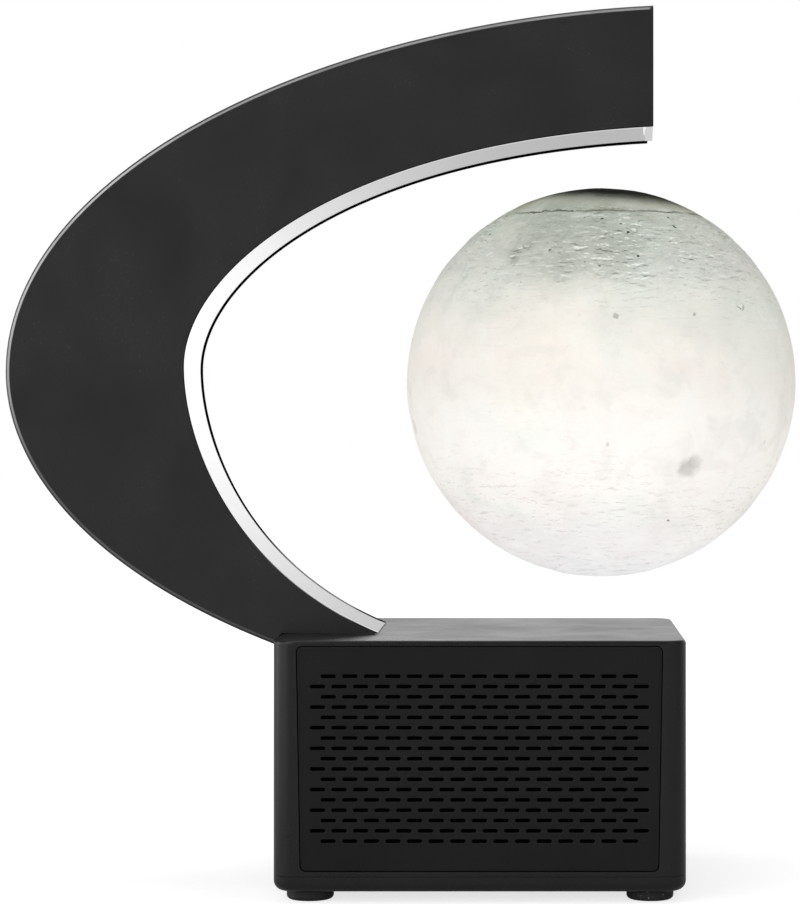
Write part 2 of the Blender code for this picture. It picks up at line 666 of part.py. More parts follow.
def add_electromagnet():
    """The coil that holds the moon up, with its sensor and the coil that sends power across the gap."""
    here = (MOON_X, 0.0, 0.0)
    tall = BOBBIN_TOP
    low = BOBBIN_BOTTOM
    spool = [(BOBBIN_RADIUS, tall), (BOBBIN_RADIUS, tall - BOBBIN_FLANGE),
             (BOBBIN_TUBE, tall - BOBBIN_FLANGE), (BOBBIN_TUBE, low + BOBBIN_FLANGE),
             (BOBBIN_RADIUS, low + BOBBIN_FLANGE), (BOBBIN_RADIUS, low),
             (CORE_RADIUS + CLEAR, low), (CORE_RADIUS + CLEAR, tall)]
    add_object("electromagnet_bobbin", turned_mesh("electromagnet_bobbin", spool, 16, True),
               "bobbin_plastic", here)
    add_object("electromagnet_winding",
               ring_mesh("electromagnet_winding", BOBBIN_RADIUS - CLEAR, BOBBIN_TUBE + CLEAR,
                         low + BOBBIN_FLANGE + CLEAR, tall - BOBBIN_FLANGE - CLEAR), "copper", here)
    head = tall + CLEAR
    core = [(0.0, head + CORE_HEAD), (CORE_HEAD_RADIUS, head + CORE_HEAD), (CORE_HEAD_RADIUS, head),
            (CORE_RADIUS, head), (CORE_RADIUS, low), (0.0, low)]
    add_object("electromagnet_core", turned_mesh("electromagnet_core", core, 16), "core_steel", here)
    add_object("wireless_power_coil",
               ring_mesh("wireless_power_coil", SEND_COIL_RADIUS, SEND_COIL_BORE, SHELF_BOTTOM,
                         SHELF_BOTTOM + SEND_COIL_HEIGHT), "copper", here)
    half_x, half_y = SENSOR_BOARD[0] / 2, SENSOR_BOARD[1] / 2
    add_object("hall_sensor_board",
               box_mesh("hall_sensor_board", (MOON_X - half_x, -half_y, SENSOR_BOTTOM),
                        (MOON_X + half_x, half_y, SENSOR_BOTTOM + SENSOR_BOARD[2])), "board_green")


def cable_slot():
    """The slot in the base's top that the cable comes through: its two ends in X and its half width."""
    start = ROOT_OUTER_X + ROOT_LENGTH * 0.30
    return start, start + ROOT_LENGTH * 0.50, CABLE_RADIUS * 2


def add_cable():
    """The lead inside the arm, from the electromagnet along the middle of the C to the control board."""
    start = Vector((MOON_X - BOBBIN_RADIUS - CLEAR, 0.0, (BOBBIN_BOTTOM + BOBBIN_TOP) / 2))
    route = [start, start - Vector((CABLE_RADIUS * 3, 0.0, 0.0))]
    for i in range(CABLE_STEPS + 1):
        t = CABLE_START_SHARE + (CABLE_END_SHARE - CABLE_START_SHARE) * i / CABLE_STEPS
        spot = (outer_edge(t) + inner_edge(t)) / 2
        route.append(Vector((spot.x, 0.0, spot.y)))
    slot_start, slot_end, _ = cable_slot()
    middle = (slot_start + slot_end) / 2
    board_face = REAR_WALL_IN - BOARD_STANDOFF - BOARD_THICKNESS
    route += [Vector((slot_start + CABLE_RADIUS * 1.3, 0.0, ARM_BOTTOM + CABLE_RADIUS * 1.6)),
              Vector((middle - CABLE_RADIUS, 0.0, CEILING - WALL * 2)),
              Vector((slot_end, board_face * 0.30, CEILING - WALL * 4)),
              Vector((slot_end + CABLE_RADIUS * 2, board_face - CABLE_RADIUS * 4, BUTTON_HEIGHT)),
              Vector((slot_end + CABLE_RADIUS * 2, board_face - CLEAR, BUTTON_HEIGHT))]
    curve = bpy.data.curves.new("arm_cable", "CURVE")
    curve.dimensions = "3D"
    curve.bevel_depth = CABLE_RADIUS
    curve.bevel_resolution = 1
    curve.use_fill_caps = True
    spline = curve.splines.new("POLY")
    spline.points.add(len(route) - 1)
    for point, place in zip(spline.points, route):
        point.co = (*place, 1.0)
    lead = bpy.data.objects.new("arm_cable_route", curve)
    bpy.context.scene.collection.objects.link(lead)
    mesh = mesh_of(lead)
    smooth(mesh)
    add_object("arm_cable", mesh, "cable_grey")


def rounded_rectangle(width, depth, radius, steps=4):
    """Corners of radius, anticlockwise from the right."""
    points = []
    for x, y, start in ((1, 1, 0.0), (-1, 1, 90.0), (-1, -1, 180.0), (1, -1, 270.0)):
        for i in range(steps + 1):
            angle = math.radians(start + 90.0 * i / steps)
            points.append((x * (width / 2 - radius) + radius * math.cos(angle),
                           y * (depth / 2 - radius) + radius * math.sin(angle)))
    return points


def panel_outline(grow=0.0):
    """The front panel, a little wider at the top, with small corners."""
    half_top = BASE_WIDTH / 2 - PANEL_SIDE_TOP + grow
    half_bottom = BASE_WIDTH / 2 - PANEL_SIDE_BOTTOM + grow
    radius = PANEL_CORNER + grow
    points = []
    for side, z, half, start in ((1, PANEL_TOP + grow, half_top, 0.0), (-1, PANEL_TOP + grow, half_top, 90.0),
                                 (-1, PANEL_BOTTOM - grow, half_bottom, 180.0),
                                 (1, PANEL_BOTTOM - grow, half_bottom, 270.0)):
        down = -1 if z > PANEL_MIDDLE else 1
        for i in range(4):
            angle = math.radians(start + 90.0 * i / 3)
            points.append((side * (half - radius) + radius * math.cos(angle),
                           z + down * radius + radius * math.sin(angle)))
    return points


def slot_loops():
    """Rows of short slots, each row shifted by half a pitch."""
    wide = BASE_WIDTH - 2 * (PANEL_SIDE_BOTTOM + SLOT_MARGIN_X) - SLOT_LENGTH
    tall = PANEL_TOP - PANEL_BOTTOM - 2 * SLOT_MARGIN_Z - SLOT_HEIGHT
    columns = int(wide / SLOT_PITCH) + 1
    rows = int(tall / ROW_PITCH) + 1
    loops = []
    for row in range(rows):
        z = PANEL_MIDDLE + (row - (rows - 1) / 2) * ROW_PITCH
        here = columns - 1 + row % 2
        for column in range(here):
            x = (column - (here - 1) / 2) * SLOT_PITCH
            left, right = x - SLOT_LENGTH / 2, x + SLOT_LENGTH / 2
            low, high = z - SLOT_HEIGHT / 2, z + SLOT_HEIGHT / 2
            loops.append([(left, low), (left, high), (right, high), (right, low)])
    return loops


def foot_places():
    """The four corners where the feet and the cover's screws sit."""
    x = BASE_WIDTH / 2 - FOOT_INSET_X
    y = BASE_DEPTH / 2 - FOOT_INSET_Y
    return [(-x, -y), (x, -y), (x, y), (-x, y)]


def button_places():
    """Names and places of the rear buttons."""
    names = ("button_volume_down", "button_power", "button_volume_up")
    return [(name, (i - 1) * BUTTON_SPACING) for i, name in enumerate(names)]


def board_screw_places():
    """Left and right of the control board."""
    x = BOARD_WIDTH / 2 - SCREW_HEAD_RADIUS * 2
    return [-x, x]


def speaker_screw_places():
    """Four screws just outside the loudspeaker's flange, whose heads hold it down."""
    reach = (SPEAKER_RADIUS + SCREW_RADIUS + CLEAR) * math.sqrt(0.5)
    return [(x * reach, PANEL_MIDDLE + z * reach) for x, z in ((-1, -1), (1, -1), (1, 1), (-1, 1))]


def add_housing():
    """The moulded box of the base: open below, a recess and a baffle in front, holes behind."""
    outline = rounded_rectangle(BASE_WIDTH, BASE_DEPTH, BASE_CORNER)
    housing = add_object("base_housing", prism_mesh(
        "base_housing", [outline], HOUSING_BOTTOM, BASE_TOP, True,
        rounded=lambda x, y, far: far, edge=BASE_TOP_EDGE), "base_black")
    inside = [(BASE_LEFT + WALL, BAFFLE_BACK), (-BASE_LEFT - WALL, BAFFLE_BACK),
              (-BASE_LEFT - WALL, REAR_WALL_IN), (BASE_LEFT + WALL, REAR_WALL_IN)]
    cut(housing, "base_room", prism_mesh("base_room", [inside], HOUSING_BOTTOM - PAST, CEILING, True))
    cut(housing, "panel_recess",
        prism_mesh("panel_recess", [panel_outline(CLEAR)], BASE_FRONT - PAST, BAFFLE_FRONT))
    middle = (0.0, 0.0, PANEL_MIDDLE)
    cut(housing, "speaker_hole",
        rod_mesh("speaker_hole", SPEAKER_BORE, -BAFFLE_BACK - PAST, -BAFFLE_FRONT + PAST, 32),
        middle, FACING_FRONT)
    for name, x in button_places():
        cut(housing, name + "_hole", rod_mesh(name + "_hole", BUTTON_RADIUS + CLEAR, REAR_WALL_IN - PAST,
                                              BASE_REAR + PAST), (x, 0.0, BUTTON_HEIGHT), FACING_REAR)
    cut(housing, "inlet_hole", rod_mesh("inlet_hole", INLET_RADIUS + CLEAR, REAR_WALL_IN - PAST,
                                        BASE_REAR + PAST, 20), (0.0, 0.0, INLET_HEIGHT), FACING_REAR)
    for number, (x, z) in enumerate(speaker_screw_places(), 1):
        cut(housing, f"speaker_pilot_{number}",
            rod_mesh(f"speaker_pilot_{number}", SCREW_RADIUS + CLEAR, BAFFLE_FRONT + CLEAR * 2,
                     BAFFLE_BACK + PAST, 8), (x, 0.0, z), FACING_REAR)
    start, end, half = cable_slot()
    slot = box_mesh("cable_slot", (start, -half, CEILING - PAST), (end, half, BASE_TOP + PAST))
    cut(housing, "cable_slot", slot)
    for number, side in enumerate((-1, 1), 1):
        cut(housing, f"mount_hole_{number}",
            rod_mesh(f"mount_hole_{number}", SCREW_RADIUS + CLEAR, CEILING - PAST, BASE_TOP + PAST, 10),
            (MOUNT_X, side * MOUNT_Y, 0.0))
    add_posts(housing)


def add_posts(housing):
    """Corner posts for the cover's screws, and short ones for the control board and the loudspeaker."""
    for number, (x, y) in enumerate(foot_places(), 1):
        post = rod_mesh(f"corner_post_{number}", POST_RADIUS, HOUSING_BOTTOM, CEILING + WALL / 2, 12)
        join(housing, f"corner_post_{number}", post, (x, y, 0.0))
        cut(housing, f"corner_pilot_{number}",
            rod_mesh(f"corner_pilot_{number}", SCREW_RADIUS + CLEAR, HOUSING_BOTTOM - PAST,
                     HOUSING_BOTTOM + SCREW_GRIP + CLEAR * 2, 8), (x, y, 0.0))
    board_back = REAR_WALL_IN - BOARD_STANDOFF
    for number, x in enumerate(board_screw_places(), 1):
        here = (x, 0.0, BUTTON_HEIGHT - BUTTON_SPACING / 2)
        post = rod_mesh(f"board_post_{number}", BOARD_POST_RADIUS, board_back + CLEAR,
                        REAR_WALL_IN + WALL / 2)
        join(housing, f"board_post_{number}", post, here, FACING_REAR)
        cut(housing, f"board_pilot_{number}",
            rod_mesh(f"board_pilot_{number}", SCREW_RADIUS + CLEAR, board_back - PAST, REAR_WALL_IN, 8),
            here, FACING_REAR)


def add_cover_and_feet():
    """The bottom cover with its rounded lower edge, its sunk screws and the rubber feet over them."""
    outline = rounded_rectangle(BASE_WIDTH, BASE_DEPTH, BASE_CORNER)
    top = COVER_BOTTOM + COVER_THICKNESS
    cover = add_object("base_bottom_cover", prism_mesh(
        "base_bottom_cover", [outline], COVER_BOTTOM, top, True,
        rounded=lambda x, y, far: not far, edge=COVER_EDGE, steps=3), "base_black")
    seat = COVER_BOTTOM + SCREW_HEAD_HEIGHT + CLEAR
    hole = [(0.0, top + PAST), (SCREW_RADIUS + CLEAR, top + PAST), (SCREW_RADIUS + CLEAR, seat),
            (SCREW_HEAD_RADIUS + CLEAR, seat), (SCREW_HEAD_RADIUS + CLEAR, COVER_BOTTOM - PAST),
            (0.0, COVER_BOTTOM - PAST)]
    foot = [(0.0, FOOT_HEIGHT), (FOOT_RADIUS, FOOT_HEIGHT), (FOOT_RADIUS, FOOT_EDGE),
            (FOOT_RADIUS - FOOT_EDGE * 0.3, FOOT_EDGE * 0.3), (FOOT_RADIUS - FOOT_EDGE, 0.0), (0.0, 0.0)]
    for number, (x, y) in enumerate(foot_places(), 1):
        cut(cover, f"cover_hole_{number}", turned_mesh(f"cover_hole_{number}", hole, 8), (x, y, 0.0))
        screw(f"cover_screw_{number}", (x, y, seat - CLEAR), FACING_DOWN,
              HOUSING_BOTTOM + SCREW_GRIP - seat + CLEAR)
        add_object(f"base_foot_{number}", turned_mesh(f"base_foot_{number}", foot, 18), "foot_rubber",
                   (x, y, 0.0))


def add_panel():
    """The front panel: one plate pierced by every slot."""
    loops = [panel_outline()] + slot_loops()
    add_object("front_grille", prism_mesh("front_grille", loops, PANEL_FRONT, PANEL_BACK), "panel_black")


def add_mounting_plate():
    """A steel plate under the base's top that spreads the pull of the arm's screws."""
    left = BASE_LEFT + WALL + CLEAR
    half = MOUNT_Y + SCREW_HEAD_RADIUS
    top = CEILING - CLEAR
    slot_start, slot_end, slot_half = cable_slot()
    plate = add_object("arm_mounting_plate", box_mesh(
        "arm_mounting_plate", (left, -half, top - MOUNT_PLATE_THICKNESS),
        (slot_end + WALL, half, top)), "plate_steel")
    slot_low = (slot_start, -slot_half, top - MOUNT_PLATE_THICKNESS - PAST)
    cut(plate, "plate_slot", box_mesh("plate_slot", slot_low, (slot_end, slot_half, top + PAST)))
    for number, side in enumerate((-1, 1), 1):
        cut(plate, f"plate_hole_{number}",
            rod_mesh(f"plate_hole_{number}", SCREW_RADIUS + CLEAR, top - MOUNT_PLATE_THICKNESS - PAST,
                     top + PAST, 10), (MOUNT_X, side * MOUNT_Y, 0.0))


def add_speaker():
    """The loudspeaker behind the baffle; local +Z points to the front and starts at its flange."""
    here = (0.0, BAFFLE_BACK + CLEAR, PANEL_MIDDLE)
    wall = SPEAKER_WALL
    back = -SPEAKER_DEPTH
    neck = SPEAKER_MAGNET_RADIUS - wall
    basket = [(SPEAKER_RADIUS, 0.0), (SPEAKER_RADIUS, -wall), (CONE_RADIUS + wall * 3, -wall),
              (neck + wall * 2, back * 0.75), (neck + wall, back), (VOICE_COIL_RADIUS + wall, back),
              (VOICE_COIL_RADIUS + wall, back + wall), (neck, back + wall), (neck, back * 0.62),
              (CONE_RADIUS + wall * 1.5, -wall * 1.5), (CONE_RADIUS + wall * 1.5, 0.0)]
    add_object("speaker_basket", turned_mesh("speaker_basket", basket, 16, True), "basket_steel",
               here, FACING_FRONT)
    coil_top = back * 0.62
    neck_in = VOICE_COIL_RADIUS + CLEAR
    cone = [(CONE_RADIUS, -wall * 0.5), (neck_in + CONE_THICKNESS, coil_top), (neck_in, coil_top),
            (neck_in, coil_top + CONE_THICKNESS), (CONE_RADIUS - CONE_THICKNESS, 0.0), (CONE_RADIUS, 0.0)]
    add_object("speaker_cone", turned_mesh("speaker_cone", cone, 16, True), "cone_paper", here, FACING_FRONT)
    roll_in, roll_out = CONE_RADIUS + CLEAR, CONE_RADIUS + wall * 1.5 - CLEAR + wall * 1.8
    middle, half = (roll_in + roll_out) / 2, (roll_out - roll_in) / 2
    turns = [i * math.pi / 4 for i in range(5)]
    outside = [(middle + half * math.cos(a), half * math.sin(a)) for a in turns]
    skin = half - CONE_THICKNESS
    inside = [(middle + skin * math.cos(a), skin * math.sin(a)) for a in turns]
    roll = [(r, z + CLEAR) for r, z in inside] + [(r, z + CLEAR) for r, z in outside[::-1]]
    add_object("speaker_surround", turned_mesh("speaker_surround", roll, 16, True), "surround_rubber",
               here, FACING_FRONT)
    dome = CONE_RADIUS * 0.46
    lift = coil_top + (dome - neck_in) * (-coil_top) / (CONE_RADIUS - neck_in)
    rise = dome * 0.35
    turns = [i * math.pi / 6 for i in range(4)]
    cap = [(dome * math.sin(a), lift + wall + rise * math.cos(a)) for a in turns]
    under = [(r * 0.93, z - CONE_THICKNESS * 1.2) for r, z in cap[::-1]]
    add_object("speaker_dust_cap", turned_mesh("speaker_dust_cap", cap + under, 16), "cone_paper",
               here, FACING_FRONT)
    bottom = coil_top - VOICE_COIL_LENGTH
    add_object("speaker_voice_coil",
               ring_mesh("speaker_voice_coil", VOICE_COIL_RADIUS, VOICE_COIL_RADIUS - VOICE_COIL_WALL,
                         bottom, coil_top + CONE_THICKNESS), "copper", here, FACING_FRONT)
    waves = spider_profile(neck, coil_top - wall * 1.5)
    add_object("speaker_spider", turned_mesh("speaker_spider", waves, 16, True), "spider_cloth", here,
               FACING_FRONT)
    ring_top = back - CLEAR
    ring_bottom = ring_top - SPEAKER_MAGNET_HEIGHT
    floor = min(bottom - SPEAKER_TRAVEL - CLEAR * 2, ring_bottom + wall * 2)
    pot = [(0.0, ring_top), (VOICE_COIL_RADIUS - VOICE_COIL_WALL - CLEAR, ring_top),
           (VOICE_COIL_RADIUS - VOICE_COIL_WALL - CLEAR, floor), (VOICE_COIL_RADIUS + CLEAR, floor),
           (VOICE_COIL_RADIUS + CLEAR, ring_top), (SPEAKER_MAGNET_RADIUS, ring_top),
           (SPEAKER_MAGNET_RADIUS, floor - wall * 2), (0.0, floor - wall * 2)]
    add_object("speaker_magnet", turned_mesh("speaker_magnet", pot, 18), "core_steel", here, FACING_FRONT)
    seat = here[1] + wall + CLEAR
    for number, (x, z) in enumerate(speaker_screw_places(), 1):
        screw(f"speaker_screw_{number}", (x, seat, z), FACING_REAR, seat - BAFFLE_FRONT - CLEAR * 3)


def spider_profile(outer, level):
    """A corrugated ring between the basket and the voice coil."""
    inner = VOICE_COIL_RADIUS + CLEAR
    edge = outer - CLEAR
    waves = 4
    radii = [edge + (inner - edge) * i / waves for i in range(waves + 1)]
    top = [(r, level + (CLEAR if i % 2 else -CLEAR)) for i, r in enumerate(radii)]
    return [(r, z - CONE_THICKNESS) for r, z in top] + top[::-1]


def add_control_board():
    """The board on the rear wall with its switches, the buttons and the power inlet."""
    back = REAR_WALL_IN - BOARD_STANDOFF
    front = back - BOARD_THICKNESS
    top = BUTTON_HEIGHT + SWITCH_WIDTH
    half = BOARD_WIDTH / 2
    sheet = box_mesh("control_board", (-half, front, top - BOARD_HEIGHT), (half, back, top))
    board = add_object("control_board", sheet, "board_green")
    for number, x in enumerate(board_screw_places(), 1):
        here = (x, 0.0, BUTTON_HEIGHT - BUTTON_SPACING / 2)
        hole = rod_mesh(f"board_hole_{number}", SCREW_RADIUS + CLEAR, front - PAST, back + PAST, 10)
        cut(board, f"board_hole_{number}", hole, here, FACING_REAR)
        screw(f"board_screw_{number}", (x, front - CLEAR, here[2]), FACING_FRONT,
              BOARD_STANDOFF + BOARD_THICKNESS - CLEAR)
    switch_back = back + CLEAR + SWITCH_HEIGHT
    bore_floor = switch_back - SWITCH_HEIGHT / 2
    flange_back = REAR_WALL_IN - CLEAR
    flange_front = flange_back - CLEAR * 3
    stem_end = bore_floor + CLEAR + BUTTON_TRAVEL
    proud = BASE_REAR + BUTTON_PROUD
    button = [(0.0, proud), (BUTTON_RADIUS * 0.75, proud), (BUTTON_RADIUS, proud - BUTTON_RADIUS * 0.15),
              (BUTTON_RADIUS, flange_back), (BUTTON_RADIUS + BUTTON_FLANGE, flange_back),
              (BUTTON_RADIUS + BUTTON_FLANGE, flange_front), (PLUNGER_RADIUS, flange_front),
              (PLUNGER_RADIUS, stem_end), (0.0, stem_end)]
    half = SWITCH_WIDTH / 2
    for number, (name, x) in enumerate(button_places(), 1):
        add_object(name, turned_mesh(name, button, 14), "button_black", (x, 0.0, BUTTON_HEIGHT), FACING_REAR)
        switch = add_object(f"switch_{number}", box_mesh(
            f"switch_{number}", (x - half, back + CLEAR, BUTTON_HEIGHT - half),
            (x + half, switch_back, BUTTON_HEIGHT + half)), "switch_plastic")
        cut(switch, f"switch_bore_{number}",
            rod_mesh(f"switch_bore_{number}", PLUNGER_RADIUS + CLEAR, bore_floor, switch_back + PAST, 12),
            (x, 0.0, BUTTON_HEIGHT), FACING_REAR)
    add_inlet(back + CLEAR)


def add_inlet(start):
    """The socket for the power supply: a block on the board with a round nose, a bore and a pin."""
    half = INLET_RADIUS + WALL / 4
    body = add_object("dc_inlet", box_mesh("dc_inlet", (-half, start, INLET_HEIGHT - half),
                                           (half, REAR_WALL_IN - CLEAR, INLET_HEIGHT + half)), "socket_black")
    here = (0.0, 0.0, INLET_HEIGHT)
    mouth = BASE_REAR + CLEAR
    floor = max(mouth - INLET_BORE_DEPTH, start + CLEAR * 3)
    join(body, "inlet_nose", rod_mesh("inlet_nose", INLET_RADIUS, start + WALL, mouth, 16), here, FACING_REAR)
    bore = [(0.0, mouth + PAST), (INLET_BORE, mouth + PAST), (INLET_BORE, floor), (INLET_PIN, floor),
            (INLET_PIN, mouth - CLEAR * 2), (0.0, mouth - CLEAR * 2)]
    cut(body, "inlet_bore", turned_mesh("inlet_bore", bore, 16), here, FACING_REAR)


def add_moon():
    """The hollow moon, its cap with the magnet's socket, and what it carries inside."""
    seam = math.asin(CAP_RADIUS / MOON_RADIUS)
    gap = CLEAR / MOON_RADIUS
    inner_radius = MOON_RADIUS - MOON_WALL
    count = 14
    outside = []
    for i in range(count + 1):
        angle = seam + gap + (math.pi - seam - gap) * i / count
        outside.append((MOON_RADIUS * math.sin(angle), MOON_RADIUS * math.cos(angle)))
    widest = min(range(len(outside)), key=lambda i: abs(outside[i][1]))
    outside[widest] = (MOON_RADIUS, 0.0)
    outside[-1] = (0.0, -MOON_RADIUS)
    inside = []
    for i in range(8):
        angle = math.pi + (seam + gap - math.pi) * i / 7
        inside.append((inner_radius * math.sin(angle), inner_radius * math.cos(angle)))
    inside[0] = (0.0, -inner_radius)
    shell = turned_mesh("moon_shell", outside + inside, MOON_STEPS)
    shell = closed_rim(shell)
    dent(shell)
    add_object("moon_shell", shell, "moon_pale", parent=MOON_PIVOT)
    socket_floor = MOON_RADIUS - MAGNET_DEPTH + CLEAR
    socket_end = socket_floor - CLEAR - MAGNET_HEIGHT - CLEAR
    socket_in = MAGNET_RADIUS + CLEAR
    skirt_out = (inner_radius - CLEAR) * math.sin(seam) - CLEAR
    skirt_in = skirt_out - SOCKET_WALL
    skirt_top = inner_radius * math.cos(seam)
    cap = [(MOON_RADIUS * math.sin(a), MOON_RADIUS * math.cos(a)) for a in (seam * i / 4 for i in range(5))]
    roof = math.sqrt(inner_radius ** 2 - (socket_in + SOCKET_WALL) ** 2)
    cap += [(skirt_out, skirt_top + CLEAR), (skirt_out, skirt_top - CAP_SKIRT),
            (skirt_in, skirt_top - CAP_SKIRT), (skirt_in, math.sqrt(inner_radius ** 2 - skirt_in ** 2)),
            (socket_in + SOCKET_WALL, roof),
            (socket_in + SOCKET_WALL, socket_end), (socket_in, socket_end), (socket_in, socket_floor),
            (0.0, socket_floor)]
    add_object("moon_top_cap", turned_mesh("moon_top_cap", cap, MOON_STEPS), "moon_pale", parent=MOON_PIVOT)
    magnet_top = socket_floor - CLEAR
    magnet = rod_mesh("moon_magnet", MAGNET_RADIUS, magnet_top - MAGNET_HEIGHT, magnet_top, 18)
    add_object("moon_magnet", magnet, "magnet_nickel", parent=MOON_PIVOT)
    coil_top = socket_end - CLEAR
    coil_bottom = coil_top - RECEIVER_HEIGHT
    coil = ring_mesh("moon_receiver_coil", RECEIVER_RADIUS, RECEIVER_BORE, coil_bottom, coil_top, 18)
    add_object("moon_receiver_coil", coil, "copper", parent=MOON_PIVOT)
    top = coil_bottom - CLEAR
    low = top - LAMP_BOARD_HEIGHT
    board = [(0.0, top), (LAMP_BOARD_RADIUS, top), (LAMP_BOARD_RADIUS, low), (LAMP_DOME_RADIUS, low),
             (LAMP_DOME_RADIUS * 0.7, low - LAMP_DOME_RADIUS * 0.4), (0.0, low - LAMP_DOME_RADIUS * 0.55)]
    add_object("moon_led_board", turned_mesh("moon_led_board", board, 18), "board_white", parent=MOON_PIVOT)


def closed_rim(mesh):
    """Joins the shell's outer and inner skins round its opening."""
    shape = bmesh.new()
    shape.from_mesh(mesh)
    open_edges = [line for line in shape.edges if line.is_boundary]
    if open_edges:
        bmesh.ops.bridge_loops(shape, edges=open_edges)
    bmesh.ops.recalc_face_normals(shape, faces=shape.faces)
    shape.to_mesh(mesh)
    shape.free()
    smooth(mesh)
    return mesh


def dent(mesh):
    """Presses the wide basins into the outer skin of the moon."""
    for vert in mesh.vertices:
        place = vert.co.copy()
        if place.length < MOON_RADIUS - MOON_WALL / 2 or place.z > MOON_RADIUS * 0.85:
            continue
        for direction, radius, depth in BASINS:
            away = (place - Vector(direction).normalized() * MOON_RADIUS).length / radius
            if away < 1.0:
                vert.co -= place.normalized() * depth * (1.0 - away * away) ** 2


def add_materials():
    """Colours taken from the lamp, one for each kind of surface."""
    material("arm_black", (0.028, 0.028, 0.029), 0.42)
    material("base_black", (0.022, 0.021, 0.021), 0.40)
    material("panel_black", (0.017, 0.016, 0.016), 0.55)
    material("diffuser_white", (0.92, 0.92, 0.92), 0.45)
    material("reflector_white", (0.85, 0.85, 0.84), 0.60)
    material("led_yellow", (0.86, 0.80, 0.55), 0.50)
    material("bobbin_plastic", (0.06, 0.06, 0.065), 0.55)
    material("copper", (0.72, 0.36, 0.18), 0.35, 1.0)
    material("core_steel", (0.42, 0.42, 0.43), 0.40, 1.0)
    material("plate_steel", (0.55, 0.55, 0.56), 0.38, 1.0)
    material("screw_steel", (0.30, 0.30, 0.31), 0.35, 1.0)
    material("board_green", (0.03, 0.16, 0.07), 0.45)
    material("board_white", (0.88, 0.88, 0.86), 0.45)
    material("cable_grey", (0.10, 0.10, 0.10), 0.60)
    material("foot_rubber", (0.015, 0.015, 0.015), 0.85)
    material("basket_steel", (0.12, 0.12, 0.12), 0.45, 1.0)
    material("cone_paper", (0.05, 0.05, 0.05), 0.80)
    material("surround_rubber", (0.02, 0.02, 0.02), 0.70)
    material("spider_cloth", (0.55, 0.38, 0.16), 0.90)
    material("button_black", (0.03, 0.03, 0.03), 0.50)
    material("switch_plastic", (0.05, 0.05, 0.05), 0.50)
    material("socket_black", (0.02, 0.02, 0.02), 0.45)
    material("moon_pale", (0.86, 0.85, 0.80), 0.70)
    material("magnet_nickel", (0.66, 0.64, 0.60), 0.25, 1.0)


add_materials()
add_arm_shells()
add_light_band()
add_electromagnet()
add_cable()
add_mounting_plate()
add_housing()
add_cover_and_feet()
add_panel()
add_speaker()
add_control_board()
add_moon()
bpy.context.view_layer.update()
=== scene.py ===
"""Looks of the moon lamp: the finish and fine shape of every visible surface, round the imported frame.

Metres, +Z up, in the frame's own coordinates. Sizes in the property groups are the ones to try changing.
"""

import math
import random

import bmesh
import bpy
import numpy as np
from bpy.props import FloatProperty, FloatVectorProperty, IntProperty
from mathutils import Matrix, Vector, noise


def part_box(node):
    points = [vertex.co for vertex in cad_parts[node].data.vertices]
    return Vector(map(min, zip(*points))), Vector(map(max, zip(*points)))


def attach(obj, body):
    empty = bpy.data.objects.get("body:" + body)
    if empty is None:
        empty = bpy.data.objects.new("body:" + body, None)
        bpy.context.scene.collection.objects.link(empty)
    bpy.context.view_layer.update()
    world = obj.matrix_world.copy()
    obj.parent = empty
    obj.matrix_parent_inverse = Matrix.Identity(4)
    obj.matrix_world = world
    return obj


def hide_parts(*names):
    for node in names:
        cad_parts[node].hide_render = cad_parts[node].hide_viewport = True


bl_info = {
    "name": "Moon lamp looks",
    "version": (1, 0, 0),
    "blender": (4, 5, 0),
    "location": "3D View > Sidebar > Moon lamp",
    "description": "Dresses the frame of a floating moon lamp with its visible pieces and finishes",
    "category": "Object",
}

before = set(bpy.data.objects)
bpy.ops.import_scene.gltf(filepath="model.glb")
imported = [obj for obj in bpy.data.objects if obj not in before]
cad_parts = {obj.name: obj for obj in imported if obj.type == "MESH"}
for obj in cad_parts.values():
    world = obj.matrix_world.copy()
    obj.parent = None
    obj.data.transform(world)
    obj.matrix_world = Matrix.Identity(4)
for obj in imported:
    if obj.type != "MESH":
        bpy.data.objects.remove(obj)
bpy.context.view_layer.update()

MM = 0.001
BODY = "lamp"
MOON_BODY = "moon_body"
UP = Vector((0.0, 0.0, 1.0))
BACK = Vector((0.0, 1.0, 0.0))


def box(node):
    """The low and high corner of one of the frame's nodes."""
    return [Vector(corner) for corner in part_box(node)]


def middle_at(node, y):
    """The middle of a node's box in X and Z, at a given Y."""
    low, high = box(node)
    return Vector(((low.x + high.x) / 2, y, (low.z + high.z) / 2))


# Places that come from the frame
BASE_LOW, BASE_HIGH = box("base_housing")
COVER_LOW, COVER_HIGH = box("base_bottom_cover")
PANEL_LOW, PANEL_HIGH = box("front_grille")
BAND_LOW, BAND_HIGH = box("arm_light_diffuser")
REAR_LOW, REAR_HIGH = box("arm_rear_shell")
CAP_LOW, CAP_HIGH = box("moon_top_cap")
SHELL_LOW, SHELL_HIGH = box("moon_shell")
BASE_MIDDLE = (BASE_LOW.x + BASE_HIGH.x) / 2
BASE_TOP = BASE_HIGH.z
MOON_RADIUS = (SHELL_HIGH.x - SHELL_LOW.x) / 2
MOON_CENTRE = Vector(((SHELL_LOW.x + SHELL_HIGH.x) / 2, 0.0, CAP_HIGH.z - MOON_RADIUS))
CAP_RADIUS = (CAP_HIGH.x - CAP_LOW.x) / 2
SEAM_UP = math.sqrt(MOON_RADIUS ** 2 - CAP_RADIUS ** 2) / MOON_RADIUS
ARM_LEFT = REAR_LOW.x
TIP_X = BAND_HIGH.x
SEAM_GAP = 0.3 * MM
HAIR = 0.01 * MM
CORNER = 5.5 * MM
BASE_EDGE_ROUND = 0.8 * MM
BUTTON_RADIUS = 3.1 * MM
INLET_RADIUS = 4.2 * MM
ARM_BOTTOM = BASE_TOP + SEAM_GAP
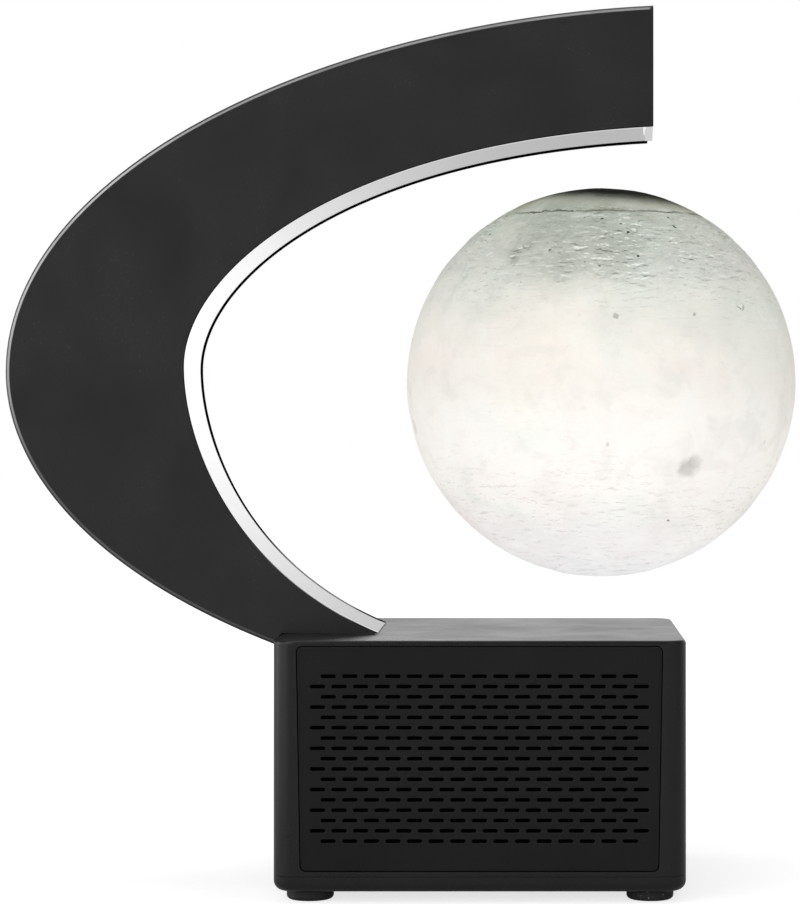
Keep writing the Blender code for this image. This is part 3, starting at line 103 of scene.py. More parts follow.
ARM_TOP = REAR_HIGH.z
ARM_FRONT = BAND_LOW.y - 2.5 * MM
ARM_REAR = -ARM_FRONT
ARM_SEAM = REAR_LOW.y - SEAM_GAP / 2

# The two long edges of the arm: tip, bend and root, with the heading in degrees and the pull at each
BEND_HEIGHT = MOON_CENTRE.z
ROOT_LEFT = BASE_LOW.x - SEAM_GAP
OUTER_EDGE = {
    "tip": (TIP_X, ARM_TOP), "tip_heading": 182.73, "tip_pull": 86.3 * MM,
    "bend": (ARM_LEFT, BEND_HEIGHT + 2.4 * MM), "bend_pulls": (49.4 * MM, 23.3 * MM),
    "root": (ROOT_LEFT, BASE_TOP - 3.0 * MM), "root_heading": 339.08, "root_pull": 52.4 * MM,
}
INNER_EDGE = {
    "tip": (TIP_X, ARM_TOP - 30.3 * MM), "tip_heading": 183.09, "tip_pull": 80.6 * MM,
    "bend": (ARM_LEFT + 44.7 * MM, BEND_HEIGHT + 3.7 * MM), "bend_pulls": (23.4 * MM, 18.0 * MM),
    "root": (ROOT_LEFT + 24.8 * MM, ARM_BOTTOM), "root_heading": 337.23, "root_pull": 40.8 * MM,
}


def length(name, millimetres, description):
    """A size, shown in the scene's length unit."""
    return FloatProperty(name=name, default=millimetres * MM, min=0.0, unit="LENGTH", precision=5,
                         description=description)


def count(name, value, low, description):
    """A whole number."""
    return IntProperty(name=name, default=value, min=low, description=description)


def colour(name, value, description):
    """A linear colour."""
    return FloatVectorProperty(name=name, default=value, size=3, min=0.0, max=1.0, subtype="COLOR",
                               description=description)


class LampArmSizes(bpy.types.PropertyGroup):
    """Fine shape of the arm and its light band."""
    edge_round: length("Outer edge radius", 1.3, "Round on the long outer edges of the arm")
    wall: length("Wall", 2.2, "Thickness of the arm's front face")
    rear_lip: length("Rear lip", 3.2, "Depth of the dark rim behind the light band")
    rear_rise: length("Rear lip rise", 0.20, "How far the rear rim stands past the front one")
    band_depth: length("Band thickness", 2.0, "Depth of the light band's back below the arm's inner edge")
    band_sink: length("Band sink", 0.10, "How far the light band sits below the arm's rims")
    band_end: length("Band end", 2.35, "Length of the block that closes the band at the tip")
    flare_rise: length("Flare rise", 0.55, "Height of the root's flare at its left end")
    flare_rise_end: length("Flare rise at its end", 0.35, "Height of the root's flare where the band ends")
    well_radius: length("Screw well radius", 2.6, "Radius of the screw wells in the rear shell")
    steps: count("Curve steps", 56, 8, "Steps along each half of an edge")


class LampMoonSizes(bpy.types.PropertyGroup):
    """Fine shape of the moon."""
    wall: length("Wall", 1.8, "Thickness of the printed shell")
    around: count("Steps around", 360, 32, "Steps round the moon")
    down: count("Steps down", 200, 16, "Steps from the cap to the south pole")
    craters: count("Small craters", 110, 0, "Number of scattered craters")
    seed: count("Seed", 11, 0, "Seed of the scattered craters")


class LampBaseSizes(bpy.types.PropertyGroup):
    """Fine shape of the base."""
    corner: length("Corner radius", 5.5, "Radius of the upright corners")
    top_round: length("Top edge radius", 0.8, "Round on the housing's top edge")
    cover_round: length("Lower edge radius", 2.4, "Round on the bottom cover's lower edge")
    wall: length("Wall", 2.2, "Wall of the housing")
    panel_corner: length("Panel corner", 1.2, "Corner radius of the front panel")
    panel_taper: length("Panel taper", 0.9, "How much further in each side is at the panel's foot")
    cover_drop: length("Cover drop", 0.7, "How far the finished bottom cover reaches below the modelled one")
    slot_length: length("Slot length", 3.75, "Length of a sound slot")
    slot_height: length("Slot height", 0.86, "Height of a sound slot")
    slot_pitch: length("Slot pitch", 5.252, "Distance between slots in a row")
    row_pitch: length("Row pitch", 2.507, "Distance between rows")
    columns: count("Slots in the long rows", 16, 2, "Slots in each long row")
    rows: count("Rows", 17, 1, "Rows of slots")


class LampColours(bpy.types.PropertyGroup):
    """Colours of the lamp's finishes."""
    arm: colour("Arm", (0.0103, 0.0103, 0.0107), "Satin black of the arm")
    base: colour("Base", (0.0078, 0.0075, 0.0075), "Satin black of the base")
    panel: colour("Panel", (0.0050, 0.0047, 0.0047), "Black of the front panel")
    rubber: colour("Rubber", (0.010, 0.010, 0.010), "Black rubber of the feet")
    band: colour("Band", (0.90, 0.90, 0.90), "Frosted white of the light band")
    moon: colour("Moon", (1.0, 1.0, 1.0), "White of the lit moon, multiplied with its tints")
    moon_grey: colour("Moon grey", (0.385, 0.415, 0.355), "Greenish grey of the worn patch near the top")
    # Moon top is painted shade over the magnet and a painted dark reflection of the arm
    moon_top_shade: colour("Moon top", (0.010, 0.010, 0.008), "Near black over the magnet")
    copper: colour("Copper", (0.72, 0.36, 0.18), "Enamelled copper wire")
    steel: colour("Steel", (0.42, 0.42, 0.43), "Plain steel")
    board: colour("Board", (0.03, 0.16, 0.07), "Solder mask")


# Helpers for shapes

def only(geometry, kind):
    """The vertices, edges or faces in an operator's result."""
    return [item for item in geometry if isinstance(item, kind)]


def loop_edges(shape, points):
    """A closed outline of edges through a few points."""
    corners = [shape.verts.new(point) for point in points]
    return [shape.edges.new(pair) for pair in zip(corners, corners[1:] + corners[:1])]


def flat(shape, points):
    """A flat face with its corners at a few points."""
    return shape.faces.new([shape.verts.new(point) for point in points])


def sheet(shape, outlines):
    """A flat sheet inside the first outline and outside the others; gives its faces and outlines' edges."""
    rims = [loop_edges(shape, points) for points in outlines]
    made = bmesh.ops.triangle_fill(shape, edges=[line for rim in rims for line in rim], use_beauty=True)
    return only(made["geom"], bmesh.types.BMFace), rims


def extruded(shape, faces, step, keep=True):
    """Extrudes faces by a step and gives the far faces."""
    made = bmesh.ops.extrude_face_region(shape, geom=faces, use_keep_orig=keep)
    bmesh.ops.translate(shape, verts=only(made["geom"], bmesh.types.BMVert), vec=step)
    return only(made["geom"], bmesh.types.BMFace)


def rounded(shape, lines, radius, segments):
    """Rounds edges."""
    bmesh.ops.bevel(shape, geom=lines, offset=radius, offset_type="OFFSET", segments=segments,
                    profile=0.5, affect="EDGES", clamp_overlap=True, material=-1)


def flat_face_at(shape, y):
    """The largest face that lies at a given Y."""
    return max(shape.faces, key=lambda face: face.calc_area() if abs(face.calc_center_median().y - y) < HAIR
               else -1.0)


def pierced(shape, face, outlines, step):
    """Opens outlines in a flat face and runs their walls in by a step, to a floor."""
    rim = list(face.edges)
    bmesh.ops.delete(shape, geom=[face], context="FACES_ONLY")
    holes = [loop_edges(shape, points) for points in outlines]
    bmesh.ops.triangle_fill(shape, edges=rim + [line for hole in holes for line in hole], use_beauty=True)
    for hole in holes:
        made = bmesh.ops.extrude_edge_only(shape, edges=hole)
        bmesh.ops.translate(shape, verts=only(made["geom"], bmesh.types.BMVert), vec=step)
        bmesh.ops.contextual_create(shape, geom=only(made["geom"], bmesh.types.BMEdge))


def turned(profile, centre, axis, steps):
    """A profile of (radius, distance along the axis) spun into a closed solid."""
    shape = bmesh.new()
    across = axis.orthogonal().normalized()
    line = [shape.verts.new(centre + across * radius + axis * along) for radius, along in profile]
    edges = [shape.edges.new(pair) for pair in zip(line, line[1:])]
    bmesh.ops.spin(shape, geom=line + edges, cent=centre, axis=axis, angle=2 * math.pi, steps=steps,
                   use_merge=True, use_duplicate=False)
    return shape


def circle(centre, radius, steps):
    """Points round a circle that faces Y."""
    turns = [2 * math.pi * i / steps for i in range(steps)]
    return [centre + radius * Vector((math.cos(turn), 0.0, math.sin(turn))) for turn in turns]


def quarter(hub, radius, turn, steps):
    """(across, up) points of a quarter circle that starts after some quarter turns."""
    angles = [math.pi / 2 * (turn + i / steps) for i in range(steps + 1)]
    return [(hub[0] + radius * math.cos(angle), hub[1] + radius * math.sin(angle)) for angle in angles]


def finish_piece(name, shape, look, replaced=(), body=BODY, sharp=40.0, even=True, second=None):
    """Closes a shape, gives it its look, hangs it under its body's empty and hides the nodes it stands for.
    """
    bmesh.ops.remove_doubles(shape, verts=shape.verts, dist=0.002 * MM)
    bmesh.ops.recalc_face_normals(shape, faces=shape.faces)
    mesh = bpy.data.meshes.new(name)
    shape.to_mesh(mesh)
    shape.free()
    mesh.shade_smooth()
    mesh.set_sharp_from_angle(angle=math.radians(sharp))
    mesh.materials.append(look)
    if second:
        mesh.materials.append(second)
    piece = bpy.data.objects.new(name, mesh)
    bpy.context.scene.collection.objects.link(piece)
    if even:
        shading = piece.modifiers.new("even_shading", "WEIGHTED_NORMAL")
        shading.keep_sharp = True
    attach(piece, body)
    if replaced:
        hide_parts(*replaced)
    return piece


# The arm's edges

def on_cubic(start, start_heading, start_pull, end, end_heading, end_pull, share):
    """A point on a cubic and its direction."""
    a, d = Vector(start), Vector(end)
    start_way = math.radians(start_heading)
    b = a + start_pull * Vector((math.cos(start_way), math.sin(start_way)))
    c = d - end_pull * Vector((math.cos(math.radians(end_heading)), math.sin(math.radians(end_heading))))
    rest = 1.0 - share
    point = rest ** 3 * a + 3 * rest ** 2 * share * b + 3 * rest * share ** 2 * c + share ** 3 * d
    travel = rest ** 2 * (b - a) + 2 * rest * share * (c - b) + share ** 2 * (d - c)
    return point, travel.normalized()


def arm_point(edge, t, inset=0.0):
    """A point of a long edge as (x, z), t from 0 at the tip through 1 at the bend to 2 at the root."""
    if t <= 1.0:
        point, travel = on_cubic(edge["tip"], edge["tip_heading"], edge["tip_pull"],
                                 edge["bend"], 270.0, edge["bend_pulls"][0], t)
    else:
        point, travel = on_cubic(edge["bend"], 270.0, edge["bend_pulls"][1],
                                 edge["root"], edge["root_heading"], edge["root_pull"], t - 1.0)
    inward = Vector((-travel.y, travel.x)) if edge is OUTER_EDGE else Vector((travel.y, -travel.x))
    return point + inset * inward


def arm_line(edge, steps, inset=0.0):
    """Points along an edge, squared off at the tip and at the base's top."""
    points = [arm_point(edge, i / steps, inset) for i in range(2 * steps + 1)]
    points[0].x = TIP_X
    if edge is INNER_EDGE:
        for point in points:
            point.y = max(point.y, ARM_BOTTOM)
    return points


def spot(x, z):
    """A place rounded so that equal corners compare as equal."""
    return round(x, 7), round(z, 7)


def within(spots, corners):
    """Whether all corners stand at marked spots."""
    return all(spot(corner.co.x, corner.co.z) in spots for corner in corners)


def arm_half(sizes, face_y, lip_y, seam_y, rise=0.0):
    """One half of the arm: its face with rounded outer edges, the lip beside the band and the wall behind."""
    shape = bmesh.new()
    outer = arm_line(OUTER_EDGE, sizes.steps)
    inner = arm_line(INNER_EDGE, sizes.steps)
    for i, point in enumerate(inner):
        t = 2.0 * i / (len(inner) - 1)
        out = arm_point(INNER_EDGE, t, -1.0) - arm_point(INNER_EDGE, t)
        toward_tip = 1.6 - 0.6 * min(1.0, t)
        before_root = min(1.0, max(0.0, (1.75 - t) / 0.5))
        point += out * rise * toward_tip * before_root
    inner[0].x = TIP_X
    behind = arm_line(INNER_EDGE, sizes.steps, sizes.band_depth + SEAM_GAP)
    drop = {spot(*here): there for here, there in zip(inner, behind)}
    hub = (BASE_LOW.x + BASE_EDGE_ROUND, BASE_TOP - BASE_EDGE_ROUND)
    shoulder = [Vector(place) for place in quarter(hub, BASE_EDGE_ROUND + SEAM_GAP, 1, 6)[::-1]]
    outline = outer + shoulder + inner[::-1]
    face = flat(shape, [(point.x, face_y, point.y) for point in outline])
    rim = list(face.edges)
    lip = extruded(shape, [face], (0.0, lip_y - face_y, 0.0))
    channel = extruded(shape, lip, (0.0, 0.0, 0.0), keep=False)
    for corner in channel[0].verts:
        moved = drop.get(spot(corner.co.x, corner.co.z))
        if moved is not None:
            corner.co.x, corner.co.z = moved.x, moved.y
    extruded(shape, channel, (0.0, seam_y - lip_y, 0.0), keep=False)
    for wall in shape.faces:
        if within(drop, wall.verts) and min(abs(corner.co.y - face_y) for corner in wall.verts) < HAIR:
            wall.material_index = 1
    outer_spots = {spot(*point) for point in outer}
    rounded(shape, [line for line in rim if within(outer_spots, line.verts)], sizes.edge_round, 4)
    return shape


def flare(shape, sizes, side):
    """The root's low flare over the base: hollow curves from the arm's face to the base's edge."""
    inset = 1.0 * MM
    radius = CORNER - inset
    corner_x = BASE_LOW.x + CORNER
    left = BASE_LOW.x + inset
    right = INNER_EDGE["root"][0] - 0.6 * MM
    reach = BASE_HIGH.y - inset
    face = ARM_REAR - 0.004 * MM
    slope = math.tan(math.radians(360.0 - INNER_EDGE["root_heading"]))
    places = [left + radius * share for share in (0.0, 0.04, 0.12, 0.22, 0.35, 0.5, 0.65, 0.8, 0.9)]
    places += [corner_x + (right - corner_x) * i / 20 for i in range(21)]
    rings = []
    for x in places:
        share = (x - left) / (right - left)
        rise = sizes.flare_rise + (sizes.flare_rise_end - sizes.flare_rise) * share
        rise *= 0.15 + 0.85 * math.sin(math.pi / 2 * min(1.0, share / 0.4))
        rise = min(rise, max(0.30 * MM, (INNER_EDGE["root"][0] - x) * slope * 0.9))
        if x < corner_x:
            toe = reach - radius + math.sqrt(max(0.0, radius ** 2 - (corner_x - x) ** 2))
        else:
            toe = reach + (face + 0.3 * MM - reach) * (x - corner_x) / (right - corner_x)
        points = []
        for i in range(19):
            done = i / 18
            rest = 1.0 - done
            depth = (rest ** 3 + 0.9 * rest * rest * done) * (toe - face) + face
            height = rise * (0.48 * rest * done * done + done ** 3)
            points.append(Vector((x, side * depth, BASE_TOP + HAIR + height)))
        inside = side * (face - 1.0 * MM)
        under = BASE_TOP - 0.04 * MM
        points += [Vector((x, y, z)) for y, z in (
            (inside, BASE_TOP + rise), (inside, under), (side * toe, under))]
        rings.append(loop_edges(shape, points))
    for first, second in zip(rings, rings[1:]):
        bmesh.ops.bridge_loops(shape, edges=first + second)
    for ring in (rings[0], rings[-1]):
        bmesh.ops.contextual_create(shape, geom=ring)


# Shader nodes

class Wire:
    """A value in a shader tree, so that masks read as plain arithmetic."""

    def __init__(self, tree, socket):
        self.tree = tree
        self.socket = socket

    def __add__(self, other):
        return calc("ADD", self, other)

    def __sub__(self, other):
        return calc("SUBTRACT", self, other)

    def __rsub__(self, other):
        return calc("SUBTRACT", other, self)

    def __mul__(self, other):
        return calc("MULTIPLY", self, other)

    def __truediv__(self, other):
        return calc("DIVIDE", self, other)

    def __rtruediv__(self, other):
        return calc("DIVIDE", other, self)

    def __abs__(self):
        return calc("ABSOLUTE", self)

    def most(self, other):
        """The larger of two values."""
        return calc("MAXIMUM", self, other)

    def ease(self, low, high, to_low=0.0, to_high=1.0, kind="SMOOTHSTEP"):
        """Maps the value between two limits, eased and clamped."""
        limits = {"Value": self, "From Min": low, "From Max": high, "To Min": to_low, "To Max": to_high}
        return node(self.tree, "MapRange", limits, "Result", interpolation_type=kind, clamp=True)

    def line(self, low, high, to_low, to_high):
        """Maps the value between two limits, straight and clamped."""
        return self.ease(low, high, to_low, to_high, "LINEAR")


def put(value, socket):
    """Links a wire to a socket, or sets a number, a place or a colour on it."""
    if isinstance(value, Wire):
        value.tree.links.new(value.socket, socket)
    elif socket.type == "RGBA":
        socket.default_value = (*value, 1.0)
    else:
        socket.default_value = value


def node(tree, kind, inputs, output=0, **settings):
    """Adds a node with its settings and inputs, and gives one output."""
    made = tree.nodes.new("ShaderNode" + kind)
    for name, value in settings.items():
        setattr(made, name, value)
    for name, value in inputs.items():
        put(value, made.inputs[name])
    return Wire(tree, made.outputs[output])


def sources(tree, kind, **settings):
    """Adds a node without inputs and gives its outputs by name."""
    made = tree.nodes.new("ShaderNode" + kind)
    for name, value in settings.items():
        setattr(made, name, value)
    return {socket.name: Wire(tree, socket) for socket in made.outputs}


def calc(operation, *values, clamp=False):
    """A Math node over wires and numbers."""
    tree = next(value.tree for value in values if isinstance(value, Wire))
    return node(tree, "Math", dict(enumerate(values)), operation=operation, use_clamp=clamp)


def mixed(factor, first, second, blend="MIX"):
    """Mixes two colours, each a wire or a plain colour."""
    tree = next(value.tree for value in (factor, first, second) if isinstance(value, Wire))
    return node(tree, "Mix", {0: factor, 6: first, 7: second}, 2, data_type="RGBA", blend_type=blend)


def clouds(place, scale, detail=2.0, roughness=0.5, distortion=0.0, output="Fac"):
    """Noise over a place."""
    values = {"Vector": place, "Scale": scale, "Detail": detail, "Roughness": roughness}
    return node(place.tree, "TexNoise", {**values, "Distortion": distortion}, output)


def object_place(tree, scale=(1.0, 1.0, 1.0), shift=(0.0, 0.0, 0.0)):
    """Object coordinates, moved and scaled."""
    place = sources(tree, "TexCoord")["Object"]
    return node(tree, "Mapping", {"Vector": place, "Location": shift, "Scale": scale}, "Vector")


def split(place):
    """The X, Y and Z of a place."""
    made = place.tree.nodes.new("ShaderNodeSeparateXYZ")
    put(place, made.inputs[0])
    return [Wire(place.tree, socket) for socket in made.outputs]


def shifted(place, step):
    """A place moved by a step."""
    return node(place.tree, "VectorMath", {0: place, 1: step}, "Vector", operation="ADD")


def warped(place, scale, amount, detail=3.0):
    """A place pushed about by noise, so that round things turn ragged."""
    push = shifted(clouds(place, scale, detail, 0.6, output="Color"), (-0.5, -0.5, -0.5))
    return node(place.tree, "VectorMath", {0: push, 1: (amount, amount, amount), 2: place}, "Vector",
                operation="MULTIPLY_ADD")


def distance_to(place, point):
    """How far a place is from a point."""
    return node(place.tree, "VectorMath", {0: place, 1: point}, "Value", operation="DISTANCE")


def height_ramp(value, stops):
    """A colour ramp over -1 to 1."""
    made = value.tree.nodes.new("ShaderNodeValToRGB")
    made.color_ramp.interpolation = "EASE"
    marks = made.color_ramp.elements
    while len(marks) < len(stops):
        marks.new(0.5)
    for mark, (level, tint) in zip(marks, stops):
        mark.position = (level + 1.0) / 2.0
        mark.color = (*tint, 1.0)
    put(value * 0.5 + 0.5, made.inputs["Fac"])
    return Wire(value.tree, made.outputs["Color"])


def new_socket(tree, name, way, kind):
    """Adds a named colour or number to a shader group."""
    kind = "NodeSocketColor" if kind == "RGBA" else "NodeSocketFloat"
    tree.interface.new_socket(name=name, in_out=way, socket_type=kind)


def surface_group(surface, values):
    """The shader group of a surface, made once: `surface` gives its outputs from its inputs."""
    name = surface.__name__
    if name in bpy.data.node_groups:
        return bpy.data.node_groups[name]
    tree = bpy.data.node_groups.new(name, "ShaderNodeTree")
    for label, value in values.items():
        new_socket(tree, label, "INPUT", "VALUE" if isinstance(value, float) else "RGBA")
    start = tree.nodes.new("NodeGroupInput")
    made = surface(tree, {label: Wire(tree, start.outputs[label]) for label in values})
    for label, wire in made.items():
        new_socket(tree, label, "OUTPUT", wire.socket.type)
    end = tree.nodes.new("NodeGroupOutput")
    for label, wire in made.items():
        put(wire, end.inputs[label])
    return tree


SHADER_SOCKETS = {"Colour": "Base Color", "Roughness": "Roughness", "Glow": "Emission Color"}


def finish(name, surface, values, bump=(0.0, 0.0), fixed=None):
    """A material made once, from a surface group and its values, under a name that the frame doesn't use.

    `bump` is its strength and its depth in millimetres; `fixed` is what the shader keeps all over.
    """
    made = bpy.data.materials.get("finish_" + name)
    if made is not None:
        return made
    made = bpy.data.materials.new("finish_" + name)
    made.use_nodes = True
    tree = made.node_tree
    shader = tree.nodes["Principled BSDF"]
    place = tree.nodes.new("ShaderNodeGroup")
    place.node_tree = surface_group(surface, values)
    for label, value in values.items():
        put(value, place.inputs[label])
    for socket in place.outputs:
        wire = Wire(tree, socket)
        if socket.name == "Height":
            height = {"Strength": bump[0], "Distance": bump[1] * MM, "Height": wire}
            normal = node(tree, "Bump", height, "Normal")
            put(normal, shader.inputs["Normal"])
        else:
            put(wire, shader.inputs[SHADER_SOCKETS[socket.name]])
    for label, value in (fixed or {}).items():
        put(value, shader.inputs[label])
    return made


def painted(made, mask_of, tint):
    """Blends a colour over a material where a mask of the object's place says so."""
    socket = made.node_tree.nodes["Principled BSDF"].inputs["Base Color"]
    under = Wire(made.node_tree, socket.links[0].from_socket)
    put(mixed(mask_of(object_place(made.node_tree)), under, tint), socket)
    return made


# Surfaces: each takes a group's inputs and gives its outputs

def moulded_surface(tree, given):
    """Fine grain of moulded plastic with faint uneven gloss and dust."""
    place = object_place(tree)
    grain = clouds(place, 1000.0 / given["Grain Size"], 2.0, 0.6)
    cloud = clouds(place, 45.0, 4.0, 0.6, 0.4)
    dusty = clouds(place, 1700.0, 1.0).ease(0.66, 0.74) * cloud.ease(0.42, 0.62)
    tinted = mixed(1.0, given["Colour"], cloud.line(0.3, 0.7, 0.88, 1.12), "MULTIPLY")
    rough = given["Roughness"] + cloud.line(0.3, 0.7, -0.05, 0.05)
    return {"Colour": mixed(dusty * given["Dust"], tinted, (0.32, 0.31, 0.30)),
            "Roughness": calc("ADD", rough, grain.line(0.3, 0.7, -0.03, 0.03), clamp=True), "Height": grain}


def brushed_surface(tree, given):
    """Bare or plated metal with fine brushing."""
    marks = clouds(object_place(tree), 900.0, 4.0, 0.65)
    return {"Colour": mixed(1.0, given["Colour"], marks.line(0.3, 0.7, 0.82, 1.12), "MULTIPLY"),
            "Roughness": given["Roughness"] + marks.line(0.3, 0.7, -0.06, 0.08), "Height": marks}


def wound(tree, given, axis):
    """Turns of enamelled wire laid side by side along an axis, with painted shade in the grooves between
    them.
    """
    per_turn = 1000.0 / 6.283 / 0.35
    turns = node(tree, "TexWave", {"Vector": object_place(tree), "Scale": per_turn, "Distortion": 0.4}, "Fac",
                 wave_type="BANDS", bands_direction=axis)
    return {"Colour": mixed(turns.ease(0.0, 0.6), given["Shade"], given["Colour"]),
            "Roughness": turns.ease(0.0, 1.0, 0.5, 0.28), "Height": turns}


def upright_coil_surface(tree, given):
    """Turns stacked along Z."""
    return wound(tree, given, "Z")


def level_coil_surface(tree, given):
    """Turns stacked along Y."""
    return wound(tree, given, "Y")


def board_surface(tree, given):
    """Solder mask with faint tracks."""
    cells = node(tree, "TexVoronoi", {"Vector": object_place(tree), "Scale": 420.0}, "Distance",
                 feature="DISTANCE_TO_EDGE")
    track = cells.ease(0.03, 0.07)
    return {"Colour": mixed(track, given["Shade"], given["Colour"]),
            "Roughness": cells.ease(0.0, 0.2, 0.3, 0.42), "Height": track}


def fibre_surface(tree, given):
    """Pressed paper or cloth."""
    pulp = clouds(object_place(tree, (1.0, 1.0, 2.5)), 900.0, 5.0, 0.7, 0.8)
    return {"Colour": mixed(pulp.ease(0.3, 0.7), given["Shade"], given["Colour"]),
            "Roughness": given["Roughness"] + pulp.ease(0.3, 0.7, -0.08, 0.0), "Height": pulp}


def band_surface(tree, given):
    """Frosted diffuser, lit most strongly round the bend, with light leaking along its front edge and end."""
    frost = clouds(object_place(tree), 700.0, 3.0, 0.6)
    x, y, _ = split(object_place(tree))
    leak = y.ease(BAND_LOW.y + 4.0 * MM, BAND_LOW.y + 2.2 * MM, 0.0, 0.78)
    gap = (x + y * -0.0437).ease(TIP_X - 1.80 * MM, TIP_X - 1.70 * MM)
    gap = gap * y.ease(10.0 * MM, -2.0 * MM, 0.2, 1.0)
    level = sources(tree, "Attribute", attribute_name="glow")["Fac"].most(leak.most(gap) * 0.80)
    glow = mixed(level, (0.0, 0.0, 0.0), (1.0, 1.0, 1.0))
    return {"Glow": mixed(1.0, glow, frost.line(0.3, 0.7, 0.985, 1.01), "MULTIPLY"),
            "Roughness": frost.line(0.3, 0.7, 0.42, 0.52), "Height": frost}


def end_block_surface(tree, given):
    """Evenly lit frosted plastic."""
    frost = clouds(object_place(tree), 500.0, 3.0, 0.6)
    return {"Glow": mixed(frost, (0.48, 0.48, 0.48), (0.56, 0.56, 0.56)),
            "Colour": mixed(frost, (0.10, 0.10, 0.10), (0.13, 0.13, 0.13))}


# Marks that stand out on the moon: direction from its centre, radius in millimetres and how dark they are
MOON_SPOTS = (
    ((0.400, -0.799, -0.448), 2.4, 0.22), ((0.422, -0.798, -0.430), 2.9, 0.24),
    ((0.448, -0.797, -0.405), 2.2, 0.16), ((0.047, -0.951, 0.306), 0.7, 0.50),
    ((0.439, -0.839, 0.320), 0.55, 0.55), ((0.013, -0.948, -0.317), 0.5, 0.28),
    ((0.311, -0.655, -0.689), 0.5, 0.75), ((0.807, -0.503, -0.310), 0.8, 0.20),
    ((-0.008, -0.600, 0.800), 0.42, 0.85), ((0.118, -0.672, 0.731), 0.45, 0.96),
    ((0.169, -0.781, 0.601), 0.45, 0.96), ((0.352, -0.532, 0.770), 0.42, 0.96),
    ((0.329, -0.478, 0.814), 0.40, 0.85), ((-0.567, -0.369, 0.737), 0.40, 0.80),
    ((-0.443, -0.672, 0.593), 1.3, 0.30), ((-0.374, -0.642, 0.669), 1.5, 0.16),
    ((-0.413, -0.774, 0.479), 0.35, 0.55), ((-0.251, -0.727, 0.639), 0.9, 0.22),
    ((-0.231, -0.663, 0.712), 0.8, 0.26), ((-0.217, -0.750, 0.625), 0.5, 0.35),
    ((-0.987, -0.073, 0.140), 0.6, 0.85), ((-0.904, -0.054, 0.423), 0.6, 0.70),
    ((0.62, 0.60, 0.50), 2.6, 0.35), ((-0.30, 0.90, 0.31), 1.8, 0.40), ((-0.80, 0.45, -0.38), 2.9, 0.30),
    ((0.93, 0.30, 0.21), 2.2, 0.32), ((-0.95, -0.20, -0.23), 2.0, 0.28), ((0.20, 0.85, -0.48), 2.4, 0.30),
)
# Clusters of dashes with painted highlight and painted shade: direction from its centre and radius in
# millimetres
MOON_PAINTED_DASHES = (
    ((0.150, -0.824, 0.550), 4.2), ((0.400, -0.708, 0.585), 3.4), ((0.330, -0.640, 0.690), 3.0),
    ((-0.400, -0.655, 0.640), 2.6), ((0.140, -0.700, 0.700), 4.0), ((0.520, -0.560, 0.640), 2.8),
    ((-0.560, -0.520, 0.640), 2.6), ((-0.10, -0.740, 0.660), 2.6), ((0.60, 0.45, 0.65), 5.0),
    ((-0.40, 0.62, 0.67), 5.0), ((0.0, 0.85, 0.52), 4.0),
)
# Small craters: direction from the centre and radius in millimetres
MOON_RINGS = (
    ((0.678, -0.630, 0.378), 1.35), ((0.150, -0.655, 0.741), 0.9), ((0.430, -0.552, 0.714), 0.8),
    ((-0.379, -0.639, 0.669), 1.1), ((0.388, -0.708, 0.591), 1.2), ((0.30, 0.70, 0.65), 1.6),
    ((-0.55, 0.62, 0.56), 1.3), ((0.90, 0.10, 0.42), 1.4),
)


def on_moon(way):
    """The point of the moon's skin in a direction from its centre."""
    return MOON_RADIUS * Vector(way).normalized()


